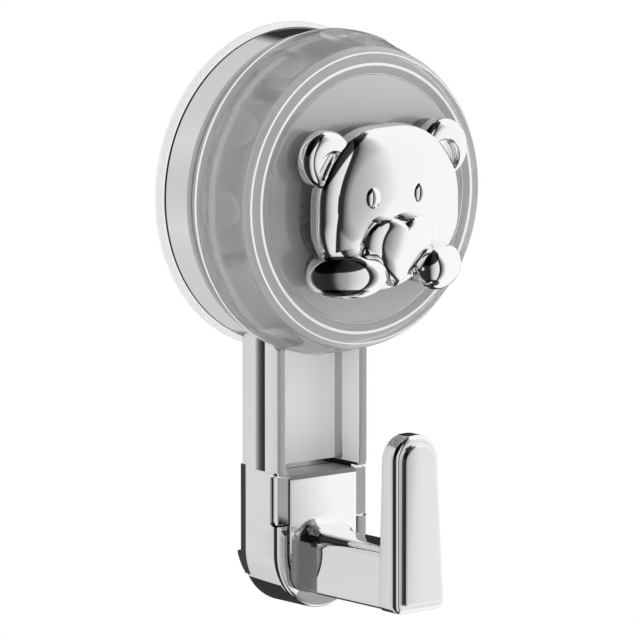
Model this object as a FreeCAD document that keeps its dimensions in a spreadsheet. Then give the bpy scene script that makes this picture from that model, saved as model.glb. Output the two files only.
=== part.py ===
import FreeCAD, Part
import math
import os
import Sketcher

# Suction cup wall hook with a turning lock knob.
# Frame: the wall is the plane Y = 0, the hook stands out towards -Y, +Z is up, and the origin is
# the middle of the suction pad on the wall. "Depth" below is the distance out from the wall.

V = FreeCAD.Vector
TOLERANCE = 1e-4

SIZES = {
    # soft suction pad
    "pad_overhang": 1.2,
    "pad_rim": 8.2,
    "pad_cup_radius": 14.0,
    "pad_cup_depth": 2.3,
    "pad_lip_depth": 0.9,
    "pad_seat_inset": 4.0,
    "pad_seat_depth": 2.0,
    "pad_boss_radius": 9.5,
    "pad_boss_depth": 7.6,
    "pad_skin": 1.1,
    # pull stud moulded into the pad
    "stud_radius": 3.0,
    "stud_flat": 2.4,
    "stud_head_radius": 7.0,
    "stud_head_thickness": 1.6,
    "stud_length": 19.5,
    "thread_clearance": 0.05,
    "guide_clearance": 0.08,
    # chromed bracket: round base tray
    "seat_gap": 0.3,
    "base_radius": 40.0,
    "base_draft": 0.4,
    "base_depth": 9.7,
    "base_edge": 0.8,
    "base_wall": 2.2,
    "base_web": 2.4,
    "boss_radius": 9.0,
    "boss_height": 1.0,
    "rib_count": 12,
    "rib_thickness": 1.6,
    "rib_depth": 3.0,
    "rib_inner_radius": 11.0,
    # chromed bracket: hanging channel
    "arm_half_width": 14.95,
    "arm_back": 1.4,
    "arm_front": 15.8,
    "arm_drop": 51.2,
    "arm_back_wall": 2.5,
    "arm_edge": 1.2,
    "rail_width": 3.55,
    "fin_inset": 0.57,
    "fin_relief": 0.55,
    "outer_step": 9.1,
    "outer_run": 3.7,
    "inner_step": 7.4,
    "inner_run": 3.4,
    "relief_overlap": 1.6,
    "relief_rise": 20.8,
    "floor_step": 2.0,
    "channel_overlap": 10.0,
    "knob_clearance": 0.9,
    "pad_clearance": 0.5,
    "notch_rise": 20.1,
    "notch_height": 13.0,
    "notch_depth": 2.6,
    # wall bumper
    "bumper_rise": 21.6,
    "bumper_end": 8.15,
    "bumper_foot": 6.0,
    "bumper_thickness": 2.0,
    "bumper_slant": 1.6,
    "bumper_gap": 0.05,
    # thrust washer
    "washer_radius": 8.4,
    "washer_thickness": 1.0,
    "washer_clearance": 0.4,
    # knob: clear cap
    "knob_gap": 2.6,
    "knob_overhang": 1.0,
    "knob_back_draft": 0.7,
    "knob_lip": 1.4,
    "knob_band": 3.4,
    "knob_taper": 11.6,
    "knob_fall": 3.1,
    "knob_shoulder": 2.4,
    "knob_rim_width": 4.5,
    "knob_wall": 2.2,
    "knob_web": 2.0,
    "knob_rim_drop": 0.5,
    # grip dimples round the knob
    "dimple_count": 12,
    "dimple_depth": 1.0,
    "dimple_reach": 5.0,
    "dimple_length": 10.8,
    "dimple_width": 9.4,
    "dimple_place": 10.2,
    # grey inner core and its nut
    "core_clearance": 0.3,
    "core_wall": 2.0,
    "core_back": 0.4,
    "hub_radius": 8.0,
    "core_rib_count": 6,
    "core_rib_thickness": 1.8,
    "core_rib_depth": 8.0,
    "nut_radius": 5.0,
    "nut_flange_radius": 6.5,
    "nut_flange": 1.6,
    "nut_length": 9.0,
    "nut_clearance": 0.02,
    # face disc
    "disc_bevel": 2.35,
    "disc_clearance": 0.15,
    "disc_thickness": 1.2,
    # bear ornament and its clear base
    "base_plate": 5.1,
    "base_inset": 0.8,
    "head_width": 22.2,
    "head_top": 19.4,
    "head_chin": 17.5,
    "head_roundness": 0.86,
    "head_low_corner": 13.0,
    "head_thickness": 5.9,
    "head_round": 2.9,
    "face_width": 18.2,
    "face_height": 12.6,
    "face_centre": 3.2,
    "face_dome": 1.1,
    "ear_overlap": 3.6,
    "ear_z": 12.0,
    "ear_radius": 7.4,
    "ear_thickness": 4.4,
    "ear_round": 1.9,
    "ear_dish_radius": 4.4,
    "ear_dish_depth": 1.5,
    "ear_dish_shift": 0.8,
    "ear_dish_z": 9.9,
    "eye_x": 7.4,
    "eye_z": 2.3,
    "eye_width": 2.2,
    "eye_height": 2.7,
    "eye_proud": 0.9,
    "heart_lobe": 6.1,
    "heart_spread": 0.7,
    "heart_top": 3.1,
    "heart_tip": 20.0,
    "heart_front": 11.5,
    "heart_back": 5.0,
    "heart_lean": 12.0,
    "heart_round": 1.6,
    "arm_ball_inset": 7.7,
    "arm_ball_z": 16.8,
    "arm_ball_length": 10.4,
    "arm_ball_height": 6.0,
    "arm_ball_thickness": 5.9,
    "arm_ball_turn": 39.0,
    "arm_ball_lift": 1.1,
    "body_width": 14.0,
    "body_height": 10.0,
    "body_z": 13.0,
    "body_thickness": 3.6,
    # hook: block, arm and front plate
    "hook_side_clearance": 0.5,
    "hook_back_clearance": 0.3,
    "hook_block_rise": 19.6,
    "hook_block_proud": 0.3,
    "hook_block_bevel": 1.2,
    "tab_clearance": 0.3,
    "tab_recess": 0.7,
    "hook_arm_half_width": 6.9,
    "hook_arm_rise": 5.2,
    "hook_arm_drop": 10.2,
    "hook_arm_round": 4.2,
    "hook_arm_root": 2.2,
    "hook_arm_flare": 10.0,
    "plate_back": 47.6,
    "plate_rise": 34.0,
    "plate_drop": 10.4,
    "plate_top_half_width": 6.9,
    "plate_bottom_half_width": 8.15,
    "plate_top_thickness": 5.4,
    "plate_bottom_thickness": 7.0,
    "plate_edge": 1.2,
    "plate_back_edge": 0.6,
    "plate_corner": 2.2,
    "panel_inset": 2.2,
    "panel_proud": 1.5,
    "panel_edge": 0.8,
}


class Size:
    """A length held both as a number and as the sheet expression that drives it."""

    def __init__(self, value, text):
        self.value = value
        self.text = text

    def _join(self, other, value, sign):
        right = other.text if isinstance(other, Size) else repr(float(other))
        return Size(value, "(%s %s %s)" % (self.text, sign, right))

    def __add__(self, other):
        return self._join(other, self.value + number(other), "+")

    def __sub__(self, other):
        return self._join(other, self.value - number(other), "-")

    def __mul__(self, other):
        return self._join(other, self.value * number(other), "*")

    def __truediv__(self, other):
        return self._join(other, self.value / number(other), "/")

    def __neg__(self):
        return Size(-self.value, "(-1 * %s)" % self.text)


def number(size):
    return size.value if isinstance(size, Size) else float(size)


def root(size):
    return Size(math.sqrt(size.value), "sqrt(%s)" % size.text)


doc = FreeCAD.newDocument("SuctionHook")
sheet = doc.addObject("Spreadsheet::Sheet", "Dims")
for row, (alias, value) in enumerate(SIZES.items(), start=1):
    sheet.set("A%d" % row, alias)
    sheet.set("B%d" % row, repr(value))
    sheet.setAlias("B%d" % row, alias)
doc.recompute()


def size(alias):
    return Size(float(sheet.get(alias)), "Dims." + alias)


ZERO = Size(0.0, "0")

# Depths from the wall, each one stacked on the piece behind it
base_back = size("pad_seat_depth") + size("seat_gap")
base_front = base_back + size("base_depth")
web_back = base_front - size("base_web")
boss_front = base_front + size("boss_height")
hub_back = boss_front + size("washer_thickness")
knob_back = base_front + size("knob_gap")
knob_band_front = knob_back + size("knob_lip") + size("knob_band")
knob_shoulder_back = knob_band_front + size("knob_taper")
knob_front = knob_shoulder_back + size("knob_shoulder")
disc_front = knob_front - size("knob_rim_drop")
disc_back = disc_front - size("disc_thickness")
knob_web_back = disc_back - size("knob_web")
core_front = knob_web_back - size("core_clearance")
bear_back = disc_front + size("base_plate")
face_back = bear_back + size("head_thickness")
floor_upper = size("arm_back") + size("arm_back_wall")
floor_lower = floor_upper + size("floor_step")
notch_back = size("arm_front") - size("notch_depth")
hook_block_back = floor_lower + size("hook_back_clearance")
hook_block_front = size("arm_front") + size("hook_block_proud")
arm_end = size("base_radius") + size("arm_drop")
arm_end_z = -arm_end
rail_half = size("arm_half_width") - size("rail_width")

# Heights on the channel below the origin, all hung from the round base and the channel's end
arm_top_radius = size("base_radius") - size("base_wall") / 2
relief_top = size("base_radius") - size("relief_overlap")
channel_top = size("base_radius") - size("channel_overlap")
relief_end = arm_end - size("relief_rise")
notch_top = arm_end - size("notch_rise")
bumper_top = arm_end - size("bumper_rise")
bumper_bottom = arm_end + size("arm_half_width") - size("bumper_end")
bumper_foot_top = bumper_bottom - size("bumper_foot")
hook_block_top = arm_end - size("hook_block_rise")
hook_arm_top = arm_end - size("hook_arm_rise")
hook_arm_bottom = arm_end + size("hook_arm_drop")
plate_top = arm_end - size("plate_rise")
plate_bottom = arm_end + size("plate_drop")

# Radii of the round pieces, all taken from the base
pad_radius = size("base_radius") + size("pad_overhang")
pad_seal_radius = pad_radius - size("pad_rim")
pad_seat_radius = size("base_radius") - size("pad_seat_inset")
base_front_radius = size("base_radius") - size("base_draft")
knob_radius = size("base_radius") + size("knob_overhang")
knob_back_radius = knob_radius - size("knob_back_draft")
knob_shoulder_radius = knob_radius - size("knob_fall")
knob_crest_radius = knob_shoulder_radius - size("knob_rim_width")
disc_radius = knob_crest_radius - size("disc_bevel")

# Places on the ornament that follow the width of the bear's head
head_corner = size("head_width") * size("head_roundness")
ear_x = size("head_width") - size("ear_overlap")
arm_ball_x = size("head_width") - size("arm_ball_inset")


def new_body(label):
    body = doc.addObject("PartDesign::Body", label)
    body.Label = label
    return body


def plane(body, role):
    for feature in body.Origin.OriginFeatures:
        if feature.Role == role:
            return feature
    raise ValueError("no such plane: " + role)


def sketch_on(body, name, role, offset=ZERO, lean=0.0):
    """A sketch on an origin plane, moved along that plane's normal by a driven offset. lean
    tips it forwards at the top, in degrees."""
    sketch = body.newObject("Sketcher::SketchObject", name)
    sketch.AttachmentSupport = [(plane(body, role), "")]
    sketch.MapMode = "FlatFace"
    sketch.AttachmentOffset = FreeCAD.Placement(
        V(0, 0, offset.value), FreeCAD.Rotation(V(1, 0, 0), lean))
    if offset is not ZERO:
        sketch.setExpression("AttachmentOffset.Base.z", offset.text)
    return sketch


def drive(sketch, constraint, target):
    index = sketch.addConstraint(constraint)
    sketch.setExpression("Constraints[%d]" % index, target.text)


def place(sketch, geometry, end, x, y):
    """Ties one point of a sketch element to driven coordinates."""
    if abs(x.value) < TOLERANCE:
        sketch.addConstraint(Sketcher.Constraint("PointOnObject", geometry, end, -2))
    else:
        drive(sketch, Sketcher.Constraint("DistanceX", -1, 1, geometry, end, x.value), x)
    if abs(y.value) < TOLERANCE:
        sketch.addConstraint(Sketcher.Constraint("PointOnObject", geometry, end, -1))
    else:
        drive(sketch, Sketcher.Constraint("DistanceY", -1, 1, geometry, end, y.value), y)


def arc_between(start, end, radius):
    """Centre and angles of the arc that bulges to the right of start to end when radius > 0."""
    dx, dy = end[0] - start[0], end[1] - start[1]
    chord = math.hypot(dx, dy)
    rise = math.sqrt(max(radius * radius - chord * chord / 4, 0.0))
    side = 1 if radius > 0 else -1
    centre = (
        (start[0] + end[0]) / 2 - side * rise * dy / chord,
        (start[1] + end[1]) / 2 + side * rise * dx / chord,
    )
    first = math.atan2(start[1] - centre[1], start[0] - centre[0])
    last = math.atan2(end[1] - centre[1], end[0] - centre[0])
    return centre, first, last


def outline(sketch, points):
    """A closed outline. Each point is (x, y) or (x, y, radius), the radius being that of the arc
    from this point to the next one: positive turns left, negative turns right."""
    count = len(points)
    made = []
    for i, point in enumerate(points):
        following = points[(i + 1) % count]
        start = (point[0].value, point[1].value)
        end = (following[0].value, following[1].value)
        if len(point) == 2:
            line = Part.LineSegment(V(start[0], start[1], 0), V(end[0], end[1], 0))
            made.append((sketch.addGeometry(line, False), 1, 2, None))
            continue
        radius = point[2].value
        centre, first, last = arc_between(start, end, radius)
        circle = Part.Circle(V(centre[0], centre[1], 0), V(0, 0, 1), abs(radius))
        if radius > 0:
            arc = Part.ArcOfCircle(circle, first, last)
            made.append((sketch.addGeometry(arc, False), 1, 2, point[2]))
        else:
            arc = Part.ArcOfCircle(circle, last, first)
            made.append((sketch.addGeometry(arc, False), 2, 1, -point[2]))
    for i, (geometry, start, end, radius) in enumerate(made):
        following = made[(i + 1) % count]
        sketch.addConstraint(
            Sketcher.Constraint("Coincident", geometry, end, following[0], following[1]))
        place(sketch, geometry, start, points[i][0], points[i][1])
        if radius is not None:
            drive(sketch, Sketcher.Constraint("Radius", geometry, radius.value), radius)
    return sketch


def circle(sketch, radius, x=ZERO, y=ZERO):
    made = Part.Circle(V(x.value, y.value, 0), V(0, 0, 1), radius.value)
    geometry = sketch.addGeometry(made, False)
    place(sketch, geometry, 3, x, y)
    drive(sketch, Sketcher.Constraint("Radius", geometry, radius.value), radius)
    return sketch


def feature(body, kind, name, sketch):
    made = body.newObject("PartDesign::" + kind, name)
    made.Profile = sketch
    sketch.Visibility = False
    return made


def revolve(body, name, points):
    """Turns an outline of (radius, -depth) points round the Y axis."""
    sketch = outline(sketch_on(body, name + "_profile", "XY_Plane"), points)
    made = feature(body, "Revolution", name, sketch)
    made.ReferenceAxis = (sketch, ["V_Axis"])
    made.Angle = 360
    doc.recompute()
    return made


def revolve_at(body, name, x, z, points):
    """Turns an outline of (radius, -depth) points round a line parallel to Y at x, z."""
    sketch = sketch_on(body, name + "_profile", "XY_Plane", z)
    outline(sketch, [(x + point[0],) + point[1:] for point in points])
    line = Part.LineSegment(V(x.value, -60, 0), V(x.value, 0, 0))
    axis = sketch.addGeometry(line, True)
    place(sketch, axis, 2, x, ZERO)
    sketch.addConstraint(Sketcher.Constraint("Vertical", axis))
    drive(sketch, Sketcher.Constraint("Distance", axis, 60.0), Size(60.0, "60"))
    made = feature(body, "Revolution", name, sketch)
    made.ReferenceAxis = (sketch, ["Axis0"])
    made.Angle = 360
    doc.recompute()
    return made


def loft(body, name, sketches):
    """A smooth skin through several outlines, the first one being the profile."""
    made = feature(body, "AdditiveLoft", name, sketches[0])
    made.Sections = sketches[1:]
    for section in sketches[1:]:
        section.Visibility = False
    doc.recompute()
    return made


def pad(body, name, sketch, length):
    made = feature(body, "Pad", name, sketch)
    made.Length = length.value
    made.setExpression("Length", length.text)
    doc.recompute()
    return made


def pocket(body, name, sketch, length, reverse=False, both_ways=False):
    """Cuts against the sketch's normal, or along it when reversed, and checks that it cut."""
    before = body.Shape.Volume
    made = feature(body, "Pocket", name, sketch)
    made.Length = length.value
    made.setExpression("Length", length.text)
    made.Reversed = reverse
    if both_ways:
        made.SideType = "Symmetric"
    doc.recompute()
    if body.Shape.Volume > before - TOLERANCE:
        raise RuntimeError(name + " cut nothing")
    return made


def repeat_round(body, name, base, count_alias):
    """Copies a feature round the Y axis, count_alias times in a full turn."""
    made = body.newObject("PartDesign::PolarPattern", name)
    made.Originals = [base]
    made.Axis = (plane(body, "Y_Axis"), [""])
    made.Angle = 360
    made.Occurrences = int(SIZES[count_alias])
    made.setExpression("Occurrences", "Dims." + count_alias)
    body.Tip = made
    doc.recompute()
    return made


def edges_where(shape, test):
    """Names of the edges whose every sampled point passes the test."""
    names = []
    for index, edge in enumerate(shape.Edges, start=1):
        points = [edge.valueAt(p) for p in (
            edge.FirstParameter,
            (edge.FirstParameter + edge.LastParameter) / 2,
            edge.LastParameter)]
        if all(test(p) for p in points):
            names.append("Edge%d" % index)
    return names


def fillet(body, name, test, radius):
    doc.recompute()
    base = body.Tip
    names = edges_where(base.Shape, test)
    if not names:
        raise RuntimeError(name + " found no edge")
    made = body.newObject("PartDesign::Fillet", name)
    made.Base = (base, names)
    made.Radius = radius.value
    made.setExpression("Radius", radius.text)
    doc.recompute()
    return made


def near(value, target, slack=0.02):
    return abs(value - number(target)) < slack


def ellipsoid(body, name, across, along, high, x, depth, z, turn=0.0, tilt=0.0, cut=False):
    """An ellipsoid of half sizes across (X), along (depth) and high (Z), turned about Z."""
    kind = "PartDesign::SubtractiveEllipsoid" if cut else "PartDesign::AdditiveEllipsoid"
    made = body.newObject(kind, name)
    for prop, target in (("Radius1", high), ("Radius2", across), ("Radius3", along)):
        setattr(made, prop, target.value)
        made.setExpression(prop, target.text)
    for prop in ("Angle1", "Angle2", "Angle3"):
        setattr(made, prop, {"Angle1": -90, "Angle2": 90, "Angle3": 360}[prop])
    made.AttachmentSupport = [(plane(body, "XY_Plane"), "")]
    made.MapMode = "FlatFace"
    turned = FreeCAD.Rotation(V(0, 0, 1), turn) * FreeCAD.Rotation(V(1, 0, 0), tilt)
    made.AttachmentOffset = FreeCAD.Placement(V(x.value, -depth.value, z.value), turned)
    made.setExpression("AttachmentOffset.Base.x", x.text)
    made.setExpression("AttachmentOffset.Base.y", (-depth).text)
    made.setExpression("AttachmentOffset.Base.z", z.text)
    doc.recompute()
    return made


def make_suction_pad():
    """Soft clear membrane: flat sealing rim, shallow cup, and a boss round the stud's head."""
    body = new_body("suction_pad")
    head_room = size("pad_cup_depth") + size("pad_skin")
    head_front = head_room + size("stud_head_thickness")
    gap = size("thread_clearance")
    revolve(body, "membrane", [
        (ZERO, -size("pad_cup_depth")),
        (size("pad_cup_radius"), -size("pad_cup_depth")),
        (pad_seal_radius, ZERO),
        (pad_radius, ZERO),
        (pad_radius, -size("pad_lip_depth")),
        (size("base_radius"), -size("pad_seat_depth") + size("seat_gap")),
        (pad_seat_radius, -size("pad_seat_depth")),
        (size("rib_inner_radius"), -(head_front - size("pad_skin") * 0.5)),
        (size("pad_boss_radius"), -head_front),
        (size("pad_boss_radius"), -size("pad_boss_depth")),
        (size("stud_radius") + gap, -size("pad_boss_depth")),
        (size("stud_radius") + gap, -(head_front + gap)),
        (size("stud_head_radius") + gap, -(head_front + gap)),
        (size("stud_head_radius") + gap, -(head_room - gap)),
        (ZERO, -(head_room - gap)),
    ])
    return body


def double_d(sketch, radius, flat):
    """A round outline with two flats, at x = flat and x = -flat."""
    half = root(radius * radius - flat * flat)
    return outline(sketch, [
        (flat, -half),
        (flat, half, radius),
        (-flat, half),
        (-flat, -half, radius),
    ])


def make_pull_stud():
    """Metal stud: a disc head in the pad and a flatted threaded shank that can't turn."""
    body = new_body("pull_stud")
    head_room = size("pad_cup_depth") + size("pad_skin")
    head = circle(sketch_on(body, "head_outline", "XZ_Plane", head_room), size("stud_head_radius"))
    pad(body, "head", head, size("stud_head_thickness"))
    shank = sketch_on(body, "shank_outline", "XZ_Plane", head_room)
    double_d(shank, size("stud_radius"), size("stud_flat"))
    pad(body, "shank", shank, size("stud_length") + size("stud_head_thickness"))
    return body


def arm_outline(sketch, half, top_radius):
    """The channel's front outline: straight sides, a round lower end and a top that follows
    the base ring."""
    shoulder = root(top_radius * top_radius - half * half)
    return outline(sketch, [
        (-half, arm_end_z, half),
        (ZERO, arm_end_z - half, half),
        (half, arm_end_z),
        (half, -shoulder, -top_radius),
        (-half, -shoulder),
    ])


def ring_cut(body, name, outer, start, length, reverse):
    """Clears a round neighbour: an annulus cut from a plane at the given depth."""
    sketch = sketch_on(body, name + "_outline", "XZ_Plane", start)
    circle(sketch, outer)
    circle(sketch, channel_top)
    return pocket(body, name, sketch, length, reverse=reverse)


def make_bracket():
    """One chromed moulding: the round tray behind the knob and the channel that hangs from it."""
    body = new_body("bracket")
    half = size("arm_half_width")
    front = size("arm_front")
    revolve(body, "tray", [
        (ZERO, -boss_front),
        (size("boss_radius"), -boss_front),
        (size("boss_radius"), -base_front),
        (base_front_radius - size("base_edge"), -base_front, size("base_edge")),
        (base_front_radius, -(base_front - size("base_edge"))),
        (size("base_radius"), -base_back),
        (size("base_radius") - size("base_wall"), -base_back),
        (size("base_radius") - size("base_wall"), -web_back),
        (ZERO, -web_back),
    ])
    arm = sketch_on(body, "arm_outline", "XZ_Plane", size("arm_back"))
    arm_outline(arm, half, arm_top_radius)
    pad(body, "arm", arm, front - size("arm_back"))
    fillet(body, "arm_back_edge",
           lambda p: near(p.y, -size("arm_back")) and p.z < -35.0
           and (abs(p.x) > half.value - 0.1 or p.z < arm_end_z.value),
           size("arm_edge"))
    ring_cut(body, "knob_room", knob_radius + size("knob_clearance"),
             front, front - base_front, False)
    ring_cut(body, "pad_room", pad_radius + size("pad_clearance"),
             ZERO, base_back, True)

    lower = sketch_on(body, "lower_outline", "XZ_Plane", front)
    outline(lower, [
        (-rail_half, arm_end_z, rail_half),
        (ZERO, arm_end_z - rail_half, rail_half),
        (rail_half, arm_end_z),
        (rail_half, -relief_end),
        (-rail_half, -relief_end),
    ])
    pocket(body, "hook_seat", lower, front - floor_lower)
    fillet(body, "arm_front_edge",
           lambda p: near(p.y, -front) and p.z < arm_end_z.value + 0.1
           and math.hypot(p.x, p.z - arm_end_z.value) > rail_half.value + 1.0,
           size("arm_edge"))
    upper = sketch_on(body, "channel_outline", "XZ_Plane", front)
    outline(upper, [
        (-rail_half, -relief_end - size("arm_edge")),
        (rail_half, -relief_end - size("arm_edge")),
        (rail_half, -arm_top_radius),
        (-rail_half, -arm_top_radius),
    ])
    pocket(body, "channel", upper, front - floor_upper)

    reliefs = sketch_on(body, "relief_outline", "XY_Plane", -relief_top)
    outer_start = size("outer_step") - size("outer_run")
    inner_start = size("inner_step") - size("inner_run")
    outer_radius = arc_radius(size("outer_run"), size("fin_inset"))
    inner_radius = arc_radius(size("inner_run"), size("fin_relief"))
    step_outer = size("arm_back") + size("outer_step")
    step_inner = size("arm_back") + size("inner_step")
    start_outer = size("arm_back") + outer_start
    start_inner = size("arm_back") + inner_start
    for side in (1, -1):
        out = half * side
        fin = (half - size("fin_inset")) * side
        rail = rail_half * side
        deep = (rail_half + size("fin_relief")) * side
        outline(reliefs, [
            (out, -start_outer, outer_radius * -side),
            (fin, -step_outer),
            (fin, -(front + 1.0)),
            (out + side, -(front + 1.0)),
            (out + side, -start_outer),
        ])
        outline(reliefs, [
            (rail, -start_inner, inner_radius * side),
            (deep, -step_inner),
            (deep, -(front + 1.0)),
            (rail - side, -(front + 1.0)),
            (rail - side, -start_inner),
        ])
    pocket(body, "side_reliefs", reliefs, relief_end - relief_top)

    notch = sketch_on(body, "notch_outline", "YZ_Plane")
    low = -(notch_top + size("notch_height"))
    corner = size("arm_edge")
    outline(notch, [
        (-(front + 1.0), low),
        (-(notch_back + corner), low, -corner),
        (-notch_back, low + corner),
        (-notch_back, -notch_top),
        (-(front + 1.0), -notch_top),
    ])
    pocket(body, "side_notches", notch, half * 2.2, both_ways=True)

    rebate = sketch_on(body, "rebate_outline", "XZ_Plane")
    outline(rebate, [
        (-(half + 1.0), -bumper_bottom),
        (half + 1.0, -bumper_bottom),
        (half + 1.0, -bumper_top),
        (-(half + 1.0), -bumper_top),
    ])
    pocket(body, "bumper_rebate", rebate, size("arm_back") + size("bumper_thickness"),
           reverse=True)

    bore = sketch_on(body, "stud_guide_outline", "XZ_Plane", boss_front)
    double_d(bore, size("stud_radius") + size("guide_clearance"),
             size("stud_flat") + size("guide_clearance"))
    pocket(body, "stud_guide", bore, boss_front - web_back)

    rib = sketch_on(body, "rib_outline", "XZ_Plane", web_back - size("rib_depth"))
    thick = size("rib_thickness") / 2
    outline(rib, [
        (-thick, size("rib_inner_radius")),
        (thick, size("rib_inner_radius")),
        (thick, size("base_radius") - size("base_wall") / 2),
        (-thick, size("base_radius") - size("base_wall") / 2),
    ])
    first_rib = pad(body, "tray_rib", rib, size("rib_depth") + size("base_web") / 2)
    repeat_round(body, "tray_ribs", first_rib, "rib_count")
    return body


def arc_radius(run, inset):
    """Radius of an arc that starts straight ahead, runs so far and ends that far inset."""
    return (run * run + inset * inset) / (inset * 2)


def make_wall_bumper():
    """Dark rubber pad in the back of the channel; its foot rests against the wall."""
    body = new_body("wall_bumper")
    half = size("arm_half_width")
    gap = size("bumper_gap")
    top = -bumper_top - gap
    bottom = -bumper_bottom + gap
    below = bumper_bottom - gap - arm_end
    reach = root(half * half - below * below)
    sheet_outline = sketch_on(body, "sheet_outline", "XZ_Plane", size("arm_back"))
    outline(sheet_outline, [
        (-reach, bottom),
        (reach, bottom, half),
        (half, arm_end_z),
        (half, top),
        (-half, top),
        (-half, arm_end_z, half),
    ])
    pad(body, "sheet", sheet_outline, size("bumper_thickness") - gap)
    foot = sketch_on(body, "foot_outline", "XZ_Plane")
    foot_drop = bumper_foot_top - arm_end
    foot_reach = root(half * half - foot_drop * foot_drop)
    outline(foot, [
        (-reach, bottom),
        (reach, bottom, half),
        (foot_reach, -bumper_foot_top),
        (-foot_reach, -bumper_foot_top, half),
    ])
    pad(body, "foot", foot, size("arm_back") + size("bumper_thickness") / 2)
    slant = sketch_on(body, "slant_outline", "YZ_Plane")
    outline(slant, [
        (Size(1.0, "1"), -(bumper_foot_top + size("bumper_slant") * 0.5)),
        (ZERO, -(bumper_foot_top + size("bumper_slant") * 0.5)),
        (-size("bumper_slant") * 0.8, bottom),
        (-size("bumper_slant") * 0.8, bottom - 1.0),
        (Size(1.0, "1"), bottom - 1.0),
    ])
    pocket(body, "foot_slant", slant, half * 2.2, both_ways=True)
    return body


def make_thrust_washer():
    """Slippery washer on which the knob's hub turns."""
    body = new_body("thrust_washer")
    ring = sketch_on(body, "ring_outline", "XZ_Plane", boss_front)
    circle(ring, size("washer_radius"))
    circle(ring, size("stud_radius") + size("washer_clearance"))
    pad(body, "ring", ring, size("washer_thickness"))
    return body


def cap_radius_at(depth):
    """Outer radius of the knob's tapered side at a given depth."""
    fall = size("knob_fall") / size("knob_taper")
    return knob_radius - (depth - knob_band_front) * fall


def make_knob_shell():
    """Clear cap with a tapered side, a rounded front rim and oval grip dimples."""
    body = new_body("knob_shell")
    wall = size("knob_wall")
    seat = disc_radius + size("disc_clearance")
    revolve(body, "cap", [
        (knob_back_radius, -knob_back),
        (knob_radius, -(knob_back + size("knob_lip"))),
        (knob_radius, -knob_band_front),
        (knob_shoulder_radius, -knob_shoulder_back, -size("knob_shoulder") * 1.25),
        (knob_shoulder_radius - size("knob_shoulder"), -knob_front),
        (knob_crest_radius, -knob_front),
        (seat, -disc_front),
        (seat, -disc_back),
        (ZERO, -disc_back),
        (ZERO, -knob_web_back),
        (cap_radius_at(knob_web_back) - wall, -knob_web_back),
        (knob_radius - wall, -knob_band_front),
        (knob_radius - wall, -knob_back),
    ])
    depth = knob_back + size("dimple_place")
    taper = math.degrees(math.atan2(SIZES["knob_fall"], SIZES["knob_taper"]))
    centre = cap_radius_at(depth) + size("dimple_reach") - size("dimple_depth")
    dimple = ellipsoid(body, "dimple", size("dimple_width"), size("dimple_length"),
                       size("dimple_reach"), ZERO, depth, centre,
                       tilt=taper, cut=True)
    repeat_round(body, "dimples", dimple, "dimple_count")
    return body


def make_knob_core():
    """Grey inner cup that fills the clear cap and carries the nut in its ribbed hub."""
    body = new_body("knob_core")
    play = size("knob_wall") + size("core_clearance")
    wall = size("core_wall")
    back = knob_back + size("core_back")
    side = knob_radius - play
    front_radius = cap_radius_at(core_front) - play
    inner_front = core_front - wall
    nut_front = hub_back + size("nut_length")
    bore = size("nut_radius") + size("nut_clearance")
    flange_bore = size("nut_flange_radius") + size("nut_clearance")
    revolve(body, "cup", [
        (side, -back),
        (side, -knob_band_front),
        (front_radius, -core_front),
        (flange_bore, -core_front),
        (flange_bore, -nut_front),
        (bore, -nut_front),
        (bore, -hub_back),
        (size("hub_radius"), -hub_back),
        (size("hub_radius"), -inner_front),
        (front_radius - wall, -inner_front),
        (side - wall, -knob_band_front),
        (side - wall, -back),
    ])
    rib = sketch_on(body, "rib_outline", "XZ_Plane", inner_front - size("core_rib_depth"))
    thick = size("core_rib_thickness") / 2
    outline(rib, [
        (-thick, size("hub_radius") - 0.5),
        (thick, size("hub_radius") - 0.5),
        (thick, front_radius - wall + 0.5),
        (-thick, front_radius - wall + 0.5),
    ])
    first_rib = pad(body, "cup_rib", rib, size("core_rib_depth") + wall / 2)
    repeat_round(body, "cup_ribs", first_rib, "core_rib_count")
    return body


def make_knob_nut():
    """Flanged brass nut that draws the stud out as the knob turns."""
    body = new_body("knob_nut")
    nut_front = hub_back + size("nut_length")
    bore = size("stud_radius") + size("thread_clearance")
    revolve(body, "nut", [
        (bore, -hub_back),
        (size("nut_radius"), -hub_back),
        (size("nut_radius"), -nut_front),
        (size("nut_flange_radius"), -nut_front),
        (size("nut_flange_radius"), -(nut_front + size("nut_flange"))),
        (bore, -(nut_front + size("nut_flange"))),
    ])
    return body


def make_face_disc():
    """Thin grey disc let into the front of the cap."""
    body = new_body("face_disc")
    disc = circle(sketch_on(body, "disc_outline", "XZ_Plane", disc_back), disc_radius)
    pad(body, "disc", disc, size("disc_thickness"))
    return body


def head_outline(sketch, inset):
    """The bear's head from the front: a broad crown over a flatter chin."""
    wide = size("head_width") - inset
    crown = size("head_top") - inset
    chin = size("head_chin") - inset * 2.4
    corner = head_corner - inset
    low_corner = size("head_low_corner") - inset * 1.4
    return outline(sketch, [
        (-(wide - low_corner), -chin),
        (wide - low_corner, -chin, low_corner),
        (wide, low_corner - chin),
        (wide, crown - corner, corner),
        (wide - corner, crown),
        (-(wide - corner), crown, corner),
        (-wide, crown - corner),
        (-wide, low_corner - chin, low_corner),
    ])


def ear_pad(body, name, side, start, length, inset):
    sketch = sketch_on(body, name + "_outline", "XZ_Plane", start)
    circle(sketch, size("ear_radius") - inset, ear_x * side, size("ear_z"))
    return pad(body, name, sketch, length)


def paw(body, name, side, depth):
    """One arm of the bear: an egg that reaches forwards and inwards to the heart."""
    return ellipsoid(body, name, size("arm_ball_length"), size("arm_ball_thickness"),
                     size("arm_ball_height"), arm_ball_x * side, depth,
                     -size("arm_ball_z"), turn=SIZES["arm_ball_turn"] * side)


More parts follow.
